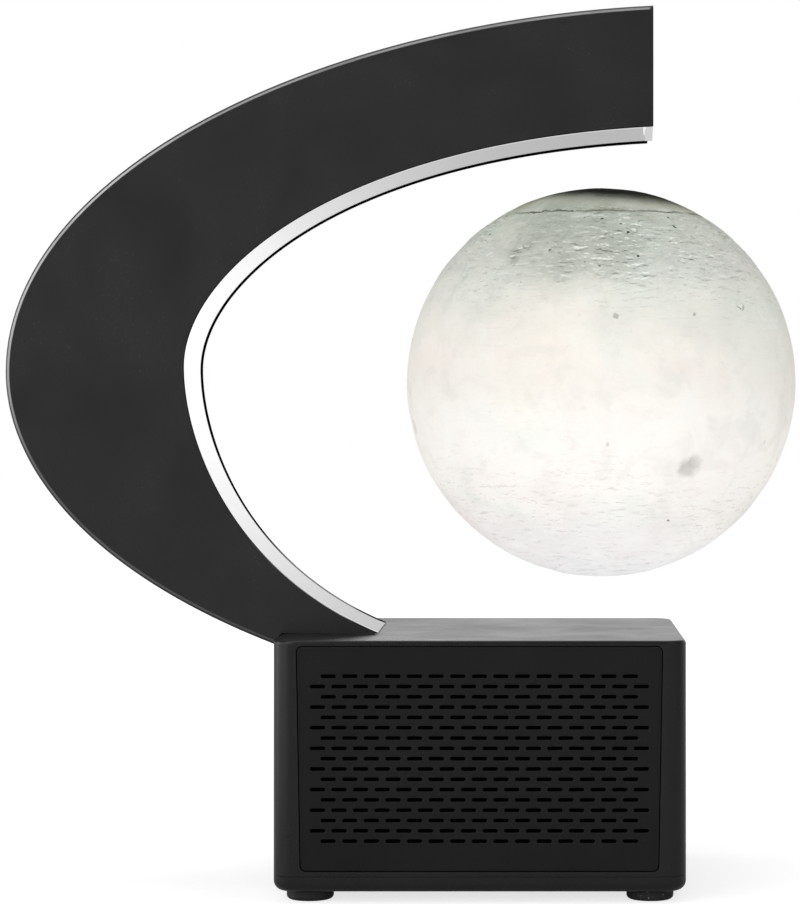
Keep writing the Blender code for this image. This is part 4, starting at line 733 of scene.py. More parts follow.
def moon_surface(tree, given):
    """The printed moon's surface: its colour by height and blotch, and the height of its fine relief."""
    place = object_place(tree, shift=tuple(-c for c in MOON_CENTRE))
    x, y, z = split(place)
    across = x / MOON_RADIUS
    up = z / MOON_RADIUS
    blotch = clouds(place, 30.0, 5.0, 0.62, 0.5)
    # Colour by height; above the cap's seam the darkening into olive grey is painted shade under the magnet
    now = height_ramp(up + blotch.line(0.3, 0.7, -0.10, 0.10), (
        (-1.0, (0.84, 0.84, 0.85)), (-0.80, (0.87, 0.845, 0.835)), (-0.50, (0.975, 0.95, 0.905)),
        (-0.20, (0.995, 0.97, 0.92)), (0.05, (0.96, 0.92, 0.855)), (0.25, (0.88, 0.855, 0.79)),
        (0.42, (0.795, 0.795, 0.725)), (0.60, (0.635, 0.65, 0.597)), (0.80, (0.53, 0.565, 0.50)),
        (0.88, (0.43, 0.45, 0.36)), (0.93, (0.30, 0.315, 0.24))))
    now = mixed(1.0, now, given["Lit"], "MULTIPLY")
    # The grey-green patch that leans over the front, one on the far side, both with a ragged edge
    ragged = warped(place, 105.0, 13.0 * MM, 6.0)
    patch = distance_to(ragged, MOON_RADIUS * Vector((-0.14, -0.64, 0.75)))
    patch = patch.ease(0.48 * MOON_RADIUS, 0.24 * MOON_RADIUS)
    far_patch = distance_to(ragged, MOON_RADIUS * Vector((0.35, 0.72, 0.42)))
    patch = patch.most(far_patch.ease(0.66 * MOON_RADIUS, 0.22 * MOON_RADIUS, 0.0, 0.8))
    now = mixed(patch * 0.60, now, given["Grey"])
    zone = patch.most(up.ease(0.22, 0.72, 0.04, 0.62))
    # Faint tints
    tints = clouds(place, 38.0, 3.0, 0.55, 0.6)
    now = mixed(tints.ease(0.51, 0.64, 0.0, 0.15), now, (0.70, 0.84, 0.77))
    now = mixed(tints.ease(0.48, 0.36, 0.0, 0.15) * (1.0 - zone * 0.9), now, (0.97, 0.79, 0.77))
    cloudy = clouds(shifted(place, (0.9, 0.4, 0.2)), 75.0, 4.0, 0.65, 0.6)
    calm = 0.24 - zone * 0.26
    now = mixed(cloudy.ease(0.52, 0.36) * calm, now, (0.72, 0.71, 0.68))
    now = mixed(cloudy.ease(0.52, 0.66) * calm, now, (1.0, 1.0, 0.97))
    yellow = clouds(shifted(place, (0.3, 0.1, 0.7)), 30.0, 2.0, 0.5, 0.5)
    now = mixed(yellow.ease(0.54, 0.70, 0.0, 0.10), now, (1.0, 0.97, 0.78))
    # Soft dusty mottling, strongest near the top
    mottle = clouds(ragged, 150.0, 6.0, 0.72, 0.5)
    now = mixed(mottle.ease(0.52, 0.32) * (zone * 0.34 + 0.04), now, (0.26, 0.29, 0.26))
    now = mixed(mottle.ease(0.52, 0.70) * (zone * 0.28 + 0.03), now, (0.86, 0.88, 0.83))
    # Short level dashes of relief, drawn as a painted highlight on one side of each and painted shade on the
    # other
    level = warped(object_place(tree, (0.32, 0.32, 1.0)), 260.0, 0.9 * MM, 2.0)
    relief = clouds(level, 760.0, 3.0, 0.62, 0.2)
    tilt = relief - clouds(shifted(level, (0.0, 0.0, -0.36 * MM)), 760.0, 3.0, 0.62, 0.2)
    clumps = blotch.ease(0.38, 0.58, 0.25, 1.0)
    strength = (zone * 0.95 + 0.03) * clumps
    for way, reach in MOON_PAINTED_DASHES:
        strength = strength.most(distance_to(ragged, on_moon(way)).ease(reach * 1.25 * MM, reach * 0.55 * MM))
    strength = strength * up.ease(0.86, 0.885, 1.0, 0.25)
    now = mixed(tilt.ease(0.045, 0.14) * strength * 0.72, now, (0.95, 0.96, 0.92))
    now = mixed(tilt.ease(-0.05, -0.17) * strength * 0.85, now, (0.14, 0.15, 0.13))
    # Short print layers in the lower part, drawn as painted shade on one side of each and a painted highlight
    # on the other
    amount = up.ease(-0.25, -0.62) * clumps
    now = mixed(tilt.ease(-0.04, -0.16) * amount * 0.32, now, (0.44, 0.40, 0.46))
    now = mixed(tilt.ease(0.04, 0.16) * amount * 0.45, now, (1.0, 0.99, 0.97))
    # Spots, and small craters with a broken dark edge on their lower side
    near = warped(place, 380.0, 2.6 * MM, 4.0)
    for way, radius, dark in MOON_SPOTS:
        soft = 0.1 if radius > 2.0 else 0.0
        mark = distance_to(near, on_moon(way)).ease(
            radius * (1.2 + soft) * MM, radius * (0.7 - soft) * MM, 0.0, dark)
        if radius > 1.6 and way[1] > -0.3:
            mark = mark * mottle.ease(0.42, 0.56, 0.2, 0.8)
        now = mixed(mark, now, (0.03, 0.035, 0.028) if dark > 0.7 else (0.20, 0.21, 0.19))
    for way, radius in MOON_RINGS:
        away = distance_to(near, on_moon(way))
        now = mixed(away.ease(radius * 0.95 * MM, radius * 0.45 * MM, 0.0, 0.22), now, (0.93, 0.93, 0.89))
        lower = distance_to(near, on_moon(way) - 0.35 * radius * MM * UP)
        side = lower.ease(radius * 1.05 * MM, radius * 0.75 * MM, 0.18, 0.85)
        broken = mottle.ease(0.40, 0.54, 0.15, 1.0) * side
        now = mixed(abs(away - radius * MM).ease(0.34 * MM, 0.08 * MM) * broken, now, (0.15, 0.15, 0.14))
    # Small scattered pits
    pits = node(tree, "TexVoronoi", {"Vector": near, "Scale": 260.0, "Randomness": 1.0}, "Distance")
    pitted = pits.ease(0.15, 0.08) * mottle.ease(0.53, 0.58) * (zone * 0.80 + 0.03)
    now = mixed(pitted, now, (0.06, 0.06, 0.055))
    # The cap's seam, dark and broken, and over it the painted shade of the magnet with the painted dark
    # reflection of the arm
    wobble = mottle.line(0.35, 0.65, -0.007, 0.007)
    seam = abs(up + wobble - SEAM_UP).ease(0.0070, 0.0022)
    gaps = clouds(object_place(tree, (1.0, 1.0, 0.15)), 95.0, 4.0, 0.6).ease(0.42, 0.58, 0.06, 0.95)
    worst = abs(across + 0.02).ease(0.46, 0.36, 0.0, 0.62)
    gaps = gaps.most(worst * calc("LESS_THAN", y, 0.0))
    now = mixed(seam * gaps, now, (0.09, 0.095, 0.08))
    now = mixed(up.ease(SEAM_UP - 0.004, SEAM_UP + 0.004, 0.0, 0.03), now, (0.27, 0.28, 0.20))
    now = mixed((across * 0.07 + up + wobble).ease(0.886, 0.968), now, given["Top"])
    # The light inside reaches the lower part best
    reach = up.ease(0.05, -0.50, 0.61, 0.755) + up.ease(-0.50, -1.0, 0.0, 0.22)
    return {"Glow": mixed(1.0, now, reach, "MULTIPLY"),
            "Colour": mixed(1.0, now, (0.34, 0.34, 0.34), "MULTIPLY"),
            "Height": mottle * 0.7 + relief * 0.9 - pitted * 0.6}


# Finishes made from the surfaces

def moulded(name, tint, rough, grain=0.25, dust=0.1, bump=0.25, specular=0.5):
    """Moulded plastic or rubber."""
    values = {"Colour": tuple(tint), "Roughness": rough, "Grain Size": grain, "Dust": dust}
    return finish(name, moulded_surface, values, (bump, 0.02), {"Specular IOR Level": specular})


def dark_inside():
    """The unlit dark of a slot or a recess."""
    return moulded("dark_inside", (0.0012, 0.0012, 0.0012), 0.9, 0.3, 0.0, 0.1, 0.0)


def base_plastic(colours):
    """Satin black of the housing and the bottom cover."""
    return moulded("base_satin_black", colours.base, 0.30, 0.25, 0.02, 0.18, 0.31)


def metal(name, tint, rough, metallic=1.0):
    """Bare, plated or painted metal."""
    values = {"Colour": tuple(tint), "Roughness": rough}
    return finish(name, brushed_surface, values, (0.2, 0.01), {"Metallic": metallic})


def shaded(tint, factor, lift=0.0):
    """A colour and a darker or paler shade of it, as a surface's values."""
    return {"Colour": tuple(tint), "Shade": tuple(min(1.0, c * factor + lift) for c in tint)}


def wound_wire(name, tint, surface=upright_coil_surface):
    """Enamelled wire."""
    return finish(name, surface, shaded(tint, 0.25), (0.6, 0.12), {"Metallic": 0.9})


def circuit_board(name, tint):
    """A printed board."""
    return finish(name, board_surface, shaded(tint, 2.2, 0.02), (0.3, 0.03))


def fibre(name, tint, rough=0.9):
    """Pressed paper or cloth."""
    values = {**shaded(tint, 0.7), "Roughness": rough}
    return finish(name, fibre_surface, values, (0.5, 0.06), {"Sheen Weight": 0.2})


def rim_look():
    """Matte black that turns paler toward the root, where the band lights it."""
    def low_down(place):
        z = split(place)[2]
        below = z.ease(BASE_TOP + 26.0 * MM, BASE_TOP + 12.0 * MM)
        return below * z.ease(BASE_TOP + 3.0 * MM, BASE_TOP + 5.0 * MM)
    made = moulded("arm_rim_matte", (0.004, 0.004, 0.004), 0.8, 0.22, 0.0, 0.2, 0.0)
    return painted(made, low_down, (0.42, 0.42, 0.42))


def arm_look(tint):
    """Satin black with a painted highlight: a thin lighter line along the round of the outer edges, front and
    rear.
    """
    # The mask of the painted highlight on the edge round, weaker lower down and toward the right
    def painted_edge_highlight(place):
        x, y, z = split(place)
        line = abs(y).ease(ARM_REAR - 0.34 * MM, ARM_REAR - 0.22 * MM)
        line = line * abs(y).ease(ARM_REAR - 0.02 * MM, ARM_REAR - 0.06 * MM)
        line = line * x.ease(TIP_X - 0.5 * MM, TIP_X - 1.2 * MM)
        line = line * clouds(place, 60.0, 3.0, 0.6).ease(0.34, 0.56, 0.72, 1.0)
        line = line * z.ease(BEND_HEIGHT - 24.0 * MM, BEND_HEIGHT + 6.0 * MM, 0.22, 1.0)
        return line * x.ease(-78.0 * MM, -40.0 * MM, 1.0, 0.58)
    made = moulded("arm_satin_black", tint, 0.38, 0.22, 0.05, 0.22, 0.36)
    return painted(made, painted_edge_highlight, (0.36, 0.36, 0.36))


class LampOperator:
    """What every operator here shares."""
    bl_options = {"REGISTER", "UNDO"}


class MOONLAMP_OT_arm_shells(LampOperator, bpy.types.Operator):
    """Front and rear half of the arm, with the flared root and the screw wells"""
    bl_idname = "moonlamp.arm_shells"
    bl_label = "Arm shells"

    WELL_DEPTH = 25.0 * MM

    def execute(self, context):
        sizes = context.scene.lamp_arm
        look = arm_look(context.scene.lamp_colours.arm)
        rim = rim_look()
        front = arm_half(sizes, ARM_FRONT, ARM_FRONT + sizes.wall, ARM_SEAM - SEAM_GAP / 2)
        flare(front, sizes, -1)
        finish_piece("arm_front", front, look, ["arm_front_shell"], second=rim)
        rear = arm_half(sizes, ARM_REAR, ARM_REAR - sizes.rear_lip, ARM_SEAM + SEAM_GAP / 2, sizes.rear_rise)
        wells = [circle(middle_at(f"arm_screw_{number}", ARM_REAR), sizes.well_radius, 28)
                 for number in range(1, 5)]
        pierced(rear, flat_face_at(rear, ARM_REAR), wells, -self.WELL_DEPTH * BACK)
        flare(rear, sizes, 1)
        finish_piece("arm_rear", rear, look, ["arm_rear_shell"], second=rim)
        return {"FINISHED"}


class MOONLAMP_OT_light_band(LampOperator, bpy.types.Operator):
    """The lit band along the inside of the arm and the block that ends it at the tip"""
    bl_idname = "moonlamp.light_band"
    bl_label = "Light band"

    FROSTED = {"Emission Strength": 1.0, "Specular IOR Level": 0.1}
    UNLIT_SHARE = 0.12
    LONG_EDGE_ROUND = 0.25 * MM
    BLOCK_ROUND = 0.22 * MM
    BLOCK_SLANT_OUT = 1.3 * MM
    BLOCK_SLANT_IN = 0.8 * MM
    BLOCK_PLAY = 0.05 * MM
    SAMPLES = 200

    def glow_at(self, t):
        """How bright the band shows along its length, less what the room's light adds."""
        if t < 1.0:
            share = min(1.0, max(0.0, (t - 0.12) / 0.66))
            shown = 0.735 + 0.265 * share * share * (3.0 - 2.0 * share)
        else:
            shown = 1.0 - 0.26 * (max(0.0, t - 1.10) / 0.85) ** 1.6
        return shown ** 2.2 - 0.10

    def add_glow(self, piece):
        """Stores the brightness at each point of the band."""
        shares = [i / self.SAMPLES for i in range(2 * self.SAMPLES + 1)]
        samples = [(arm_point(INNER_EDGE, share), share) for share in shares]
        glow = piece.data.attributes.new("glow", "FLOAT", "POINT")
        for vert, value in zip(piece.data.vertices, glow.data):
            here = Vector((vert.co.x, vert.co.z))
            value.value = self.glow_at(min(samples, key=lambda pair: (pair[0] - here).length_squared)[1])

    def execute(self, context):
        sizes = context.scene.lamp_arm
        rear = ARM_REAR - sizes.rear_lip - 2 * HAIR
        near = arm_line(INNER_EDGE, sizes.steps, sizes.band_sink)
        far = arm_line(INNER_EDGE, sizes.steps, sizes.band_depth)
        shape = bmesh.new()
        face = flat(shape, [(point.x, BAND_LOW.y, point.y) for point in near + far[::-1]])
        rim = list(face.edges)
        rim += extruded(shape, [face], (0.0, rear - BAND_LOW.y, 0.0))[0].edges
        near_spots = {spot(*point) for point in near}
        long_edges = [line for line in rim if within(near_spots, line.verts)]
        rounded(shape, long_edges, self.LONG_EDGE_ROUND, 2)
        unlit = [c * self.UNLIT_SHARE for c in context.scene.lamp_colours.band]
        look = finish("light_band", band_surface, {}, (0.08, 0.02), {**self.FROSTED, "Base Color": unlit})
        self.add_glow(finish_piece("light_band", shape, look, ["arm_light_diffuser"]))
        block = bmesh.new()
        tip_z = INNER_EDGE["tip"][1]
        floor = flat(block, [Vector((x, y, tip_z)) for x, y in (
            (TIP_X - sizes.band_end, BAND_LOW.y), (TIP_X, BAND_LOW.y),
            (TIP_X + self.BLOCK_SLANT_OUT, rear), (TIP_X - self.BLOCK_SLANT_IN, rear))])
        extruded(block, [floor], (0.0, 0.0, sizes.band_depth - self.BLOCK_PLAY))
        rounded(block, list(block.edges), self.BLOCK_ROUND, 3)
        look = finish("band_end_block", end_block_surface, {}, fixed={**self.FROSTED, "Roughness": 0.4})
        finish_piece("light_band_end", block, look, ())
        return {"FINISHED"}


def arc(radius, start, end, steps):
    """(radius, height) points on a sphere between two angles from the top; a pole lies on the axis."""
    angles = [start + (end - start) * i / steps for i in range(steps + 1)]
    return [(radius * math.sin(angle) if math.sin(angle) > 1e-9 else 0.0, radius * math.cos(angle))
            for angle in angles]


class MOONLAMP_OT_moon(LampOperator, bpy.types.Operator):
    """The moon's printed shell and its cap, with their craters in the mesh"""
    bl_idname = "moonlamp.moon"
    bl_label = "Moon"

    LINING_STEPS = 24
    CAP_STEPS_DOWN = 34
    CAP_STEPS_AROUND = 144
    SKIRT_HEIGHT = 3.0 * MM
    SKIRT_WALL = 1.4 * MM
    ROUGHNESS_DEPTH = 0.11 * MM
    HIGHEST_RIM = 0.30 * MM
    # Wide shallow hollows: direction, radius and depth in millimetres
    BASINS = (
        ((0.46, -0.78, -0.43), 13.0, 0.5), ((-0.30, -0.93, 0.22), 20.0, 0.4),
        ((0.70, -0.55, 0.40), 12.0, 0.5), ((0.55, 0.75, 0.30), 22.0, 0.5),
        ((-0.70, 0.62, -0.30), 18.0, 0.5), ((0.10, 0.70, -0.70), 16.0, 0.4),
    )

    def craters(self, sizes):
        """Every crater: the marked ones and the scattered ones."""
        rng = random.Random(sizes.seed)
        found = [(Vector(way).normalized(), radius, 0.10 * radius, 0.0) for way, radius, _ in MOON_SPOTS]
        found += [(Vector(way).normalized(), radius, 0.16 * radius, 0.10 * radius)
                  for way, radius in MOON_RINGS]
        for _ in range(sizes.craters):
            z = rng.uniform(-0.96, 0.96)
            turn = rng.uniform(0.0, 2 * math.pi)
            level = math.sqrt(1.0 - z * z)
            radius = 0.75 + 2.3 * rng.random() ** 3
            strength = 0.45 + 0.55 * max(0.0, z)
            found.append((Vector((level * math.cos(turn), level * math.sin(turn), z)), radius,
                          0.06 * radius * strength, 0.04 * radius * strength))
        return found

    def relieve(self, piece, sizes):
        """Presses craters and basins into the outer skin."""
        mesh = piece.data
        place = np.empty(len(mesh.vertices) * 3)
        mesh.vertices.foreach_get("co", place)
        place = place.reshape(-1, 3) - np.array(MOON_CENTRE)
        far = np.linalg.norm(place, axis=1)
        way = place / np.maximum(far, 1e-9)[:, None]
        push = np.zeros(len(far))
        for direction, radius, depth, rim in self.craters(sizes):
            away = np.linalg.norm(way - np.array(direction), axis=1) * MOON_RADIUS / (radius * MM)
            bowl = np.clip(1.0 - away ** 2, 0.0, 1.0)
            push += (rim * np.exp(-((away - 1.05) / 0.26) ** 2) - depth * bowl) * MM
        for direction, radius, depth in self.BASINS:
            unit = np.array(Vector(direction).normalized())
            away = np.linalg.norm(way - unit, axis=1) * MOON_RADIUS / (radius * MM)
            push -= depth * MM * np.clip(1.0 - away ** 2, 0.0, 1.0) ** 2
        rough = [noise.fractal(Vector(unit) * 7.0, 0.9, 2.2, 5) for unit in way]
        push += self.ROUGHNESS_DEPTH * np.array(rough)
        push *= np.clip(np.abs(way[:, 2] - SEAM_UP) / 0.03, 0.0, 1.0)
        push = np.where(far > MOON_RADIUS - sizes.wall / 2, np.minimum(push, self.HIGHEST_RIM), 0.0)
        mesh.vertices.foreach_set("co", (place + way * push[:, None] + np.array(MOON_CENTRE)).ravel())
        mesh.update()

    def execute(self, context):
        sizes = context.scene.lamp_moon
        colours = context.scene.lamp_colours
        look = finish("printed_moon", moon_surface, {
            "Lit": colours.moon, "Grey": colours.moon_grey, "Top": colours.moon_top_shade}, (0.45, 0.25), {
            "Emission Strength": 0.93, "Roughness": 0.85, "Specular IOR Level": 0.04})
        seam = math.asin(CAP_RADIUS / MOON_RADIUS)
        gap = SEAM_GAP / MOON_RADIUS
        inner = MOON_RADIUS - sizes.wall
        shape = turned(arc(MOON_RADIUS, seam + gap, math.pi, sizes.down), MOON_CENTRE, UP, sizes.around)
        inside = arc(inner, math.pi, seam + gap, self.LINING_STEPS)
        lining = turned(inside, MOON_CENTRE, UP, sizes.around)
        joined = bpy.data.meshes.new("moon_lining")
        lining.to_mesh(joined)
        lining.free()
        shape.from_mesh(joined)
        bpy.data.meshes.remove(joined)
        bmesh.ops.remove_doubles(shape, verts=shape.verts, dist=0.002 * MM)
        bmesh.ops.bridge_loops(shape, edges=[line for line in shape.edges if line.is_boundary])
        shell = finish_piece("moon_skin", shape, look, ["moon_shell"], MOON_BODY, 60.0, False)
        self.relieve(shell, sizes)
        skirt = inner * math.sin(seam) - 2 * SEAM_GAP
        skirt_top = inner * math.cos(seam)
        skirt_foot = skirt_top - self.SKIRT_HEIGHT
        bore = skirt - self.SKIRT_WALL
        profile = arc(MOON_RADIUS, 0.0, seam, self.CAP_STEPS_DOWN)
        profile += [(skirt, skirt_top + SEAM_GAP), (skirt, skirt_foot), (bore, skirt_foot),
                    (bore, inner * math.cos(seam * 0.9)), (0.0, inner * math.cos(seam * 0.5))]
        lid = turned(profile, MOON_CENTRE, UP, self.CAP_STEPS_AROUND)
        cap = finish_piece("moon_cap", lid, look, ["moon_top_cap"], MOON_BODY, 50.0, False)
        self.relieve(cap, sizes)
        return {"FINISHED"}


def rounded_corners(low, high, radius, steps, z):
    """A rectangle with round corners, anticlockwise from above."""
    hubs = ((high.x - radius, high.y - radius), (low.x + radius, high.y - radius),
            (low.x + radius, low.y + radius), (high.x - radius, low.y + radius))
    return [Vector((x, y, z)) for turn, hub in enumerate(hubs) for x, y in quarter(hub, radius, turn, steps)]


def panel_outline(sizes, grow, y, steps=5):
    """The front panel's outline, a little narrower at its foot."""
    radius = sizes.panel_corner + grow
    reach = (PANEL_HIGH.x - PANEL_LOW.x) / 2 - sizes.panel_corner
    foot_reach = reach - sizes.panel_taper
    top = PANEL_HIGH.z - sizes.panel_corner
    foot = PANEL_LOW.z + sizes.panel_corner
    points = []
    hubs = ((reach, top), (-reach, top), (-foot_reach, foot), (foot_reach, foot))
    for turn, (across, z) in enumerate(hubs):
        rounds = quarter((BASE_MIDDLE + across, z), radius, turn, steps)
        points += [Vector((x, y, height)) for x, height in rounds]
    return points


class MOONLAMP_OT_housing(LampOperator, bpy.types.Operator):
    """The base's moulded housing with its recess, button holes and socket hole"""
    bl_idname = "moonlamp.housing"
    bl_label = "Base housing"

    def execute(self, context):
        sizes = context.scene.lamp_base
        shape = bmesh.new()
        bottom = flat(shape, rounded_corners(BASE_LOW, BASE_HIGH, sizes.corner, 10, BASE_LOW.z))
        top = extruded(shape, [bottom], (0.0, 0.0, BASE_TOP - BASE_LOW.z))
        rounded(shape, list(top[0].edges), sizes.top_round, 4)
        recess = panel_outline(sizes, SEAM_GAP, BASE_LOW.y)
        recess_floor = PANEL_HIGH.y + SEAM_GAP
        pierced(shape, flat_face_at(shape, BASE_LOW.y), [recess], (0.0, recess_floor - BASE_LOW.y, 0.0))
        shape.normal_update()
        holes = [circle(middle_at(node, BASE_HIGH.y), radius + SEAM_GAP, steps) for node, radius, steps in (
            ("button_volume_down", BUTTON_RADIUS, 32), ("button_power", BUTTON_RADIUS, 32),
            ("button_volume_up", BUTTON_RADIUS, 32), ("dc_inlet", INLET_RADIUS, 36))]
        pierced(shape, flat_face_at(shape, BASE_HIGH.y), holes, -sizes.wall * BACK)
        reach = (max(point.x for point in recess) - min(point.x for point in recess)) / 2 + HAIR
        for wall in shape.faces:
            middle = wall.calc_center_median()
            inside = abs(middle.x - BASE_MIDDLE) < reach and middle.z < PANEL_HIGH.z + 2 * SEAM_GAP
            if inside and BASE_LOW.y + 0.2 * MM < middle.y < recess_floor + SEAM_GAP:
                wall.material_index = 1
        look = base_plastic(context.scene.lamp_colours)
        finish_piece("housing", shape, look, ["base_housing"], second=dark_inside())
        return {"FINISHED"}


class MOONLAMP_OT_front_panel(LampOperator, bpy.types.Operator):
    """The front panel with its rows of round-ended sound slots"""
    bl_idname = "moonlamp.front_panel"
    bl_label = "Front panel"

    OVERSIZE = 0.08 * MM
    PANEL_ROUND = 0.35 * MM
    SLOT_ROUND = 0.10 * MM
    LIT_DEPTH = 0.05 * MM

    def slots(self, sizes):
        """Outlines of every slot, rows shifted by half a pitch."""
        end = sizes.slot_height / 2
        reach = sizes.slot_length / 2 - end
        middle = (PANEL_LOW.z + PANEL_HIGH.z) / 2
        angles = [math.radians(-90.0 + 45.0 * i) for i in range(5)]
        ends = [(side * (reach + end * math.cos(angle)), side * end * math.sin(angle))
                for side in (1, -1) for angle in angles]
        outlines = []
        for row in range(sizes.rows):
            z = middle + (row - (sizes.rows - 1) / 2) * sizes.row_pitch
            here = sizes.columns - 1 + row % 2
            for column in range(here):
                x = BASE_MIDDLE + (column - (here - 1) / 2) * sizes.slot_pitch
                outlines.append([Vector((x + across, PANEL_LOW.y, z + up)) for across, up in ends])
        return outlines

    def execute(self, context):
        sizes = context.scene.lamp_base
        shape = bmesh.new()
        faces, rims = sheet(shape, [panel_outline(sizes, self.OVERSIZE, PANEL_LOW.y)] + self.slots(sizes))
        extruded(shape, faces, (0.0, PANEL_HIGH.y - PANEL_LOW.y, 0.0))
        rounded(shape, rims[0], self.PANEL_ROUND, 3)
        rounded(shape, [line for rim in rims[1:] for line in rim], self.SLOT_ROUND, 1)
        for wall in shape.faces:
            behind = min(corner.co.y for corner in wall.verts) > PANEL_LOW.y + self.LIT_DEPTH
            if behind or abs(wall.normal.y) < 0.3:
                wall.material_index = 1
        look = moulded("panel_black", context.scene.lamp_colours.panel, 0.38, 0.30, 0.02, 0.25, 0.24)
        finish_piece("front_panel", shape, look, ["front_grille"], second=dark_inside())
        return {"FINISHED"}


class MOONLAMP_OT_cover_and_feet(LampOperator, bpy.types.Operator):
    """The bottom cover with its rounded lower edge and the four rubber feet"""
    bl_idname = "moonlamp.cover_and_feet"
    bl_label = "Cover and feet"

    SEAM_RISE = 0.22 * MM
    SEAM_ROUND = 0.05 * MM
    FOOT_ROUND = 1.1 * MM
    FOOT_BEVEL = 0.1 * MM
    FOOT_HOLLOW = 0.25 * MM

    def execute(self, context):
        sizes = context.scene.lamp_base
        colours = context.scene.lamp_colours
        shape = bmesh.new()
        seam = COVER_HIGH.z + self.SEAM_RISE
        foot = COVER_LOW.z - sizes.cover_drop
        top = flat(shape, rounded_corners(COVER_LOW, COVER_HIGH, sizes.corner, 10, seam))
        bottom = extruded(shape, [top], (0.0, 0.0, foot - seam))
        rim = list(top.edges)
        rounded(shape, list(bottom[0].edges), sizes.cover_round, 7)
        rounded(shape, [line for line in rim if line.is_valid], self.SEAM_ROUND, 1)
        finish_piece("bottom_cover", shape, base_plastic(colours), ["base_bottom_cover"])
        rubber = moulded("foot_rubber", colours.rubber, 0.62, 0.35, 0.5, 0.5, 0.4)
        for number in range(1, 5):
            node = f"base_foot_{number}"
            low, high = box(node)
            middle = Vector(((low.x + high.x) / 2, (low.y + high.y) / 2, low.z))
            radius = (high.x - low.x) / 2
            height = foot - HAIR - low.z
            bend = self.FOOT_ROUND
            profile = [(0.0, height), (radius - self.FOOT_BEVEL, height), (radius, height - self.FOOT_BEVEL)]
            profile += [(across, 2 * bend - up) for across, up in quarter((radius - bend, bend), bend, 0, 6)]
            profile += [(radius * 0.55, 0.0), (radius * 0.5, self.FOOT_HOLLOW), (0.0, self.FOOT_HOLLOW)]
            finish_piece(f"foot_{number}", turned(profile, middle, UP, 48), rubber, [node])
        return {"FINISHED"}


class MOONLAMP_OT_rear_controls(LampOperator, bpy.types.Operator):
    """The three rear buttons and the power socket"""
    bl_idname = "moonlamp.rear_controls"
    bl_label = "Rear controls"

    STEM_RADIUS = 1.4 * MM
    FLANGE_FRONT = 2.5 * MM
    FLANGE_BACK = 3.4 * MM
    SOCKET_DEPTH = 8.5 * MM
    SOCKET_BORE = 3.0 * MM
    SOCKET_BEVEL = 0.25 * MM
    # The dished face and rounded edge of a button: share of its radius and depth in millimetres
    DISH = ((0.0, 0.28), (0.35, 0.238), (0.62, 0.098), (0.78, 0.02), (0.86, 0.0), (0.95, 0.12), (1.0, 0.42))

    def execute(self, context):
        look = moulded("button_black", (0.018, 0.018, 0.018), 0.5, 0.3, 0.2, 0.4)
        stem = self.STEM_RADIUS
        flange_front = BASE_HIGH.y - self.FLANGE_FRONT
        flange_back = BASE_HIGH.y - self.FLANGE_BACK
        for name in ("volume_down", "power", "volume_up"):
            node = "button_" + name
            low, high = box(node)
            flange = (high.x - low.x) / 2
            profile = [(BUTTON_RADIUS * share, high.y - depth * MM) for share, depth in self.DISH]
            profile += [(BUTTON_RADIUS, flange_front), (flange, flange_front), (flange, flange_back),
                        (stem, flange_back), (stem, low.y), (0.0, low.y)]
            finish_piece(node + "_cap", turned(profile, middle_at(node, 0.0), BACK, 40), look, [node],
                         name + "_body")
        self.add_socket()
        return {"FINISHED"}

    def add_socket(self):
        """The socket's body with its bore, and its bright pin."""
        low, high = box("dc_inlet")
        middle = middle_at("dc_inlet", 0.0)
        mouth = high.y
        floor = mouth - self.SOCKET_DEPTH
        bore = self.SOCKET_BORE
        profile = [(0.0, floor), (bore, floor), (bore, mouth - 0.35 * MM), (bore + 0.3 * MM, mouth),
                   (INLET_RADIUS - self.SOCKET_BEVEL, mouth), (INLET_RADIUS, mouth - self.SOCKET_BEVEL),
                   (INLET_RADIUS, low.y), (0.0, low.y)]
        body = moulded("socket_black", (0.014, 0.014, 0.014), 0.4, 0.3, 0.1, 0.3)
        finish_piece("socket_body", turned(profile, middle, BACK, 48), body, ["dc_inlet"])
        pin = [(0.0, mouth - 0.6 * MM), (0.5 * MM, mouth - 0.7 * MM), (0.85 * MM, mouth - 1.0 * MM),
               (1.0 * MM, mouth - 1.5 * MM), (1.0 * MM, floor), (0.0, floor)]
        nickel = metal("pin_nickel", (0.72, 0.70, 0.66), 0.25)
        finish_piece("socket_pin", turned(pin, middle, BACK, 24), nickel, ())


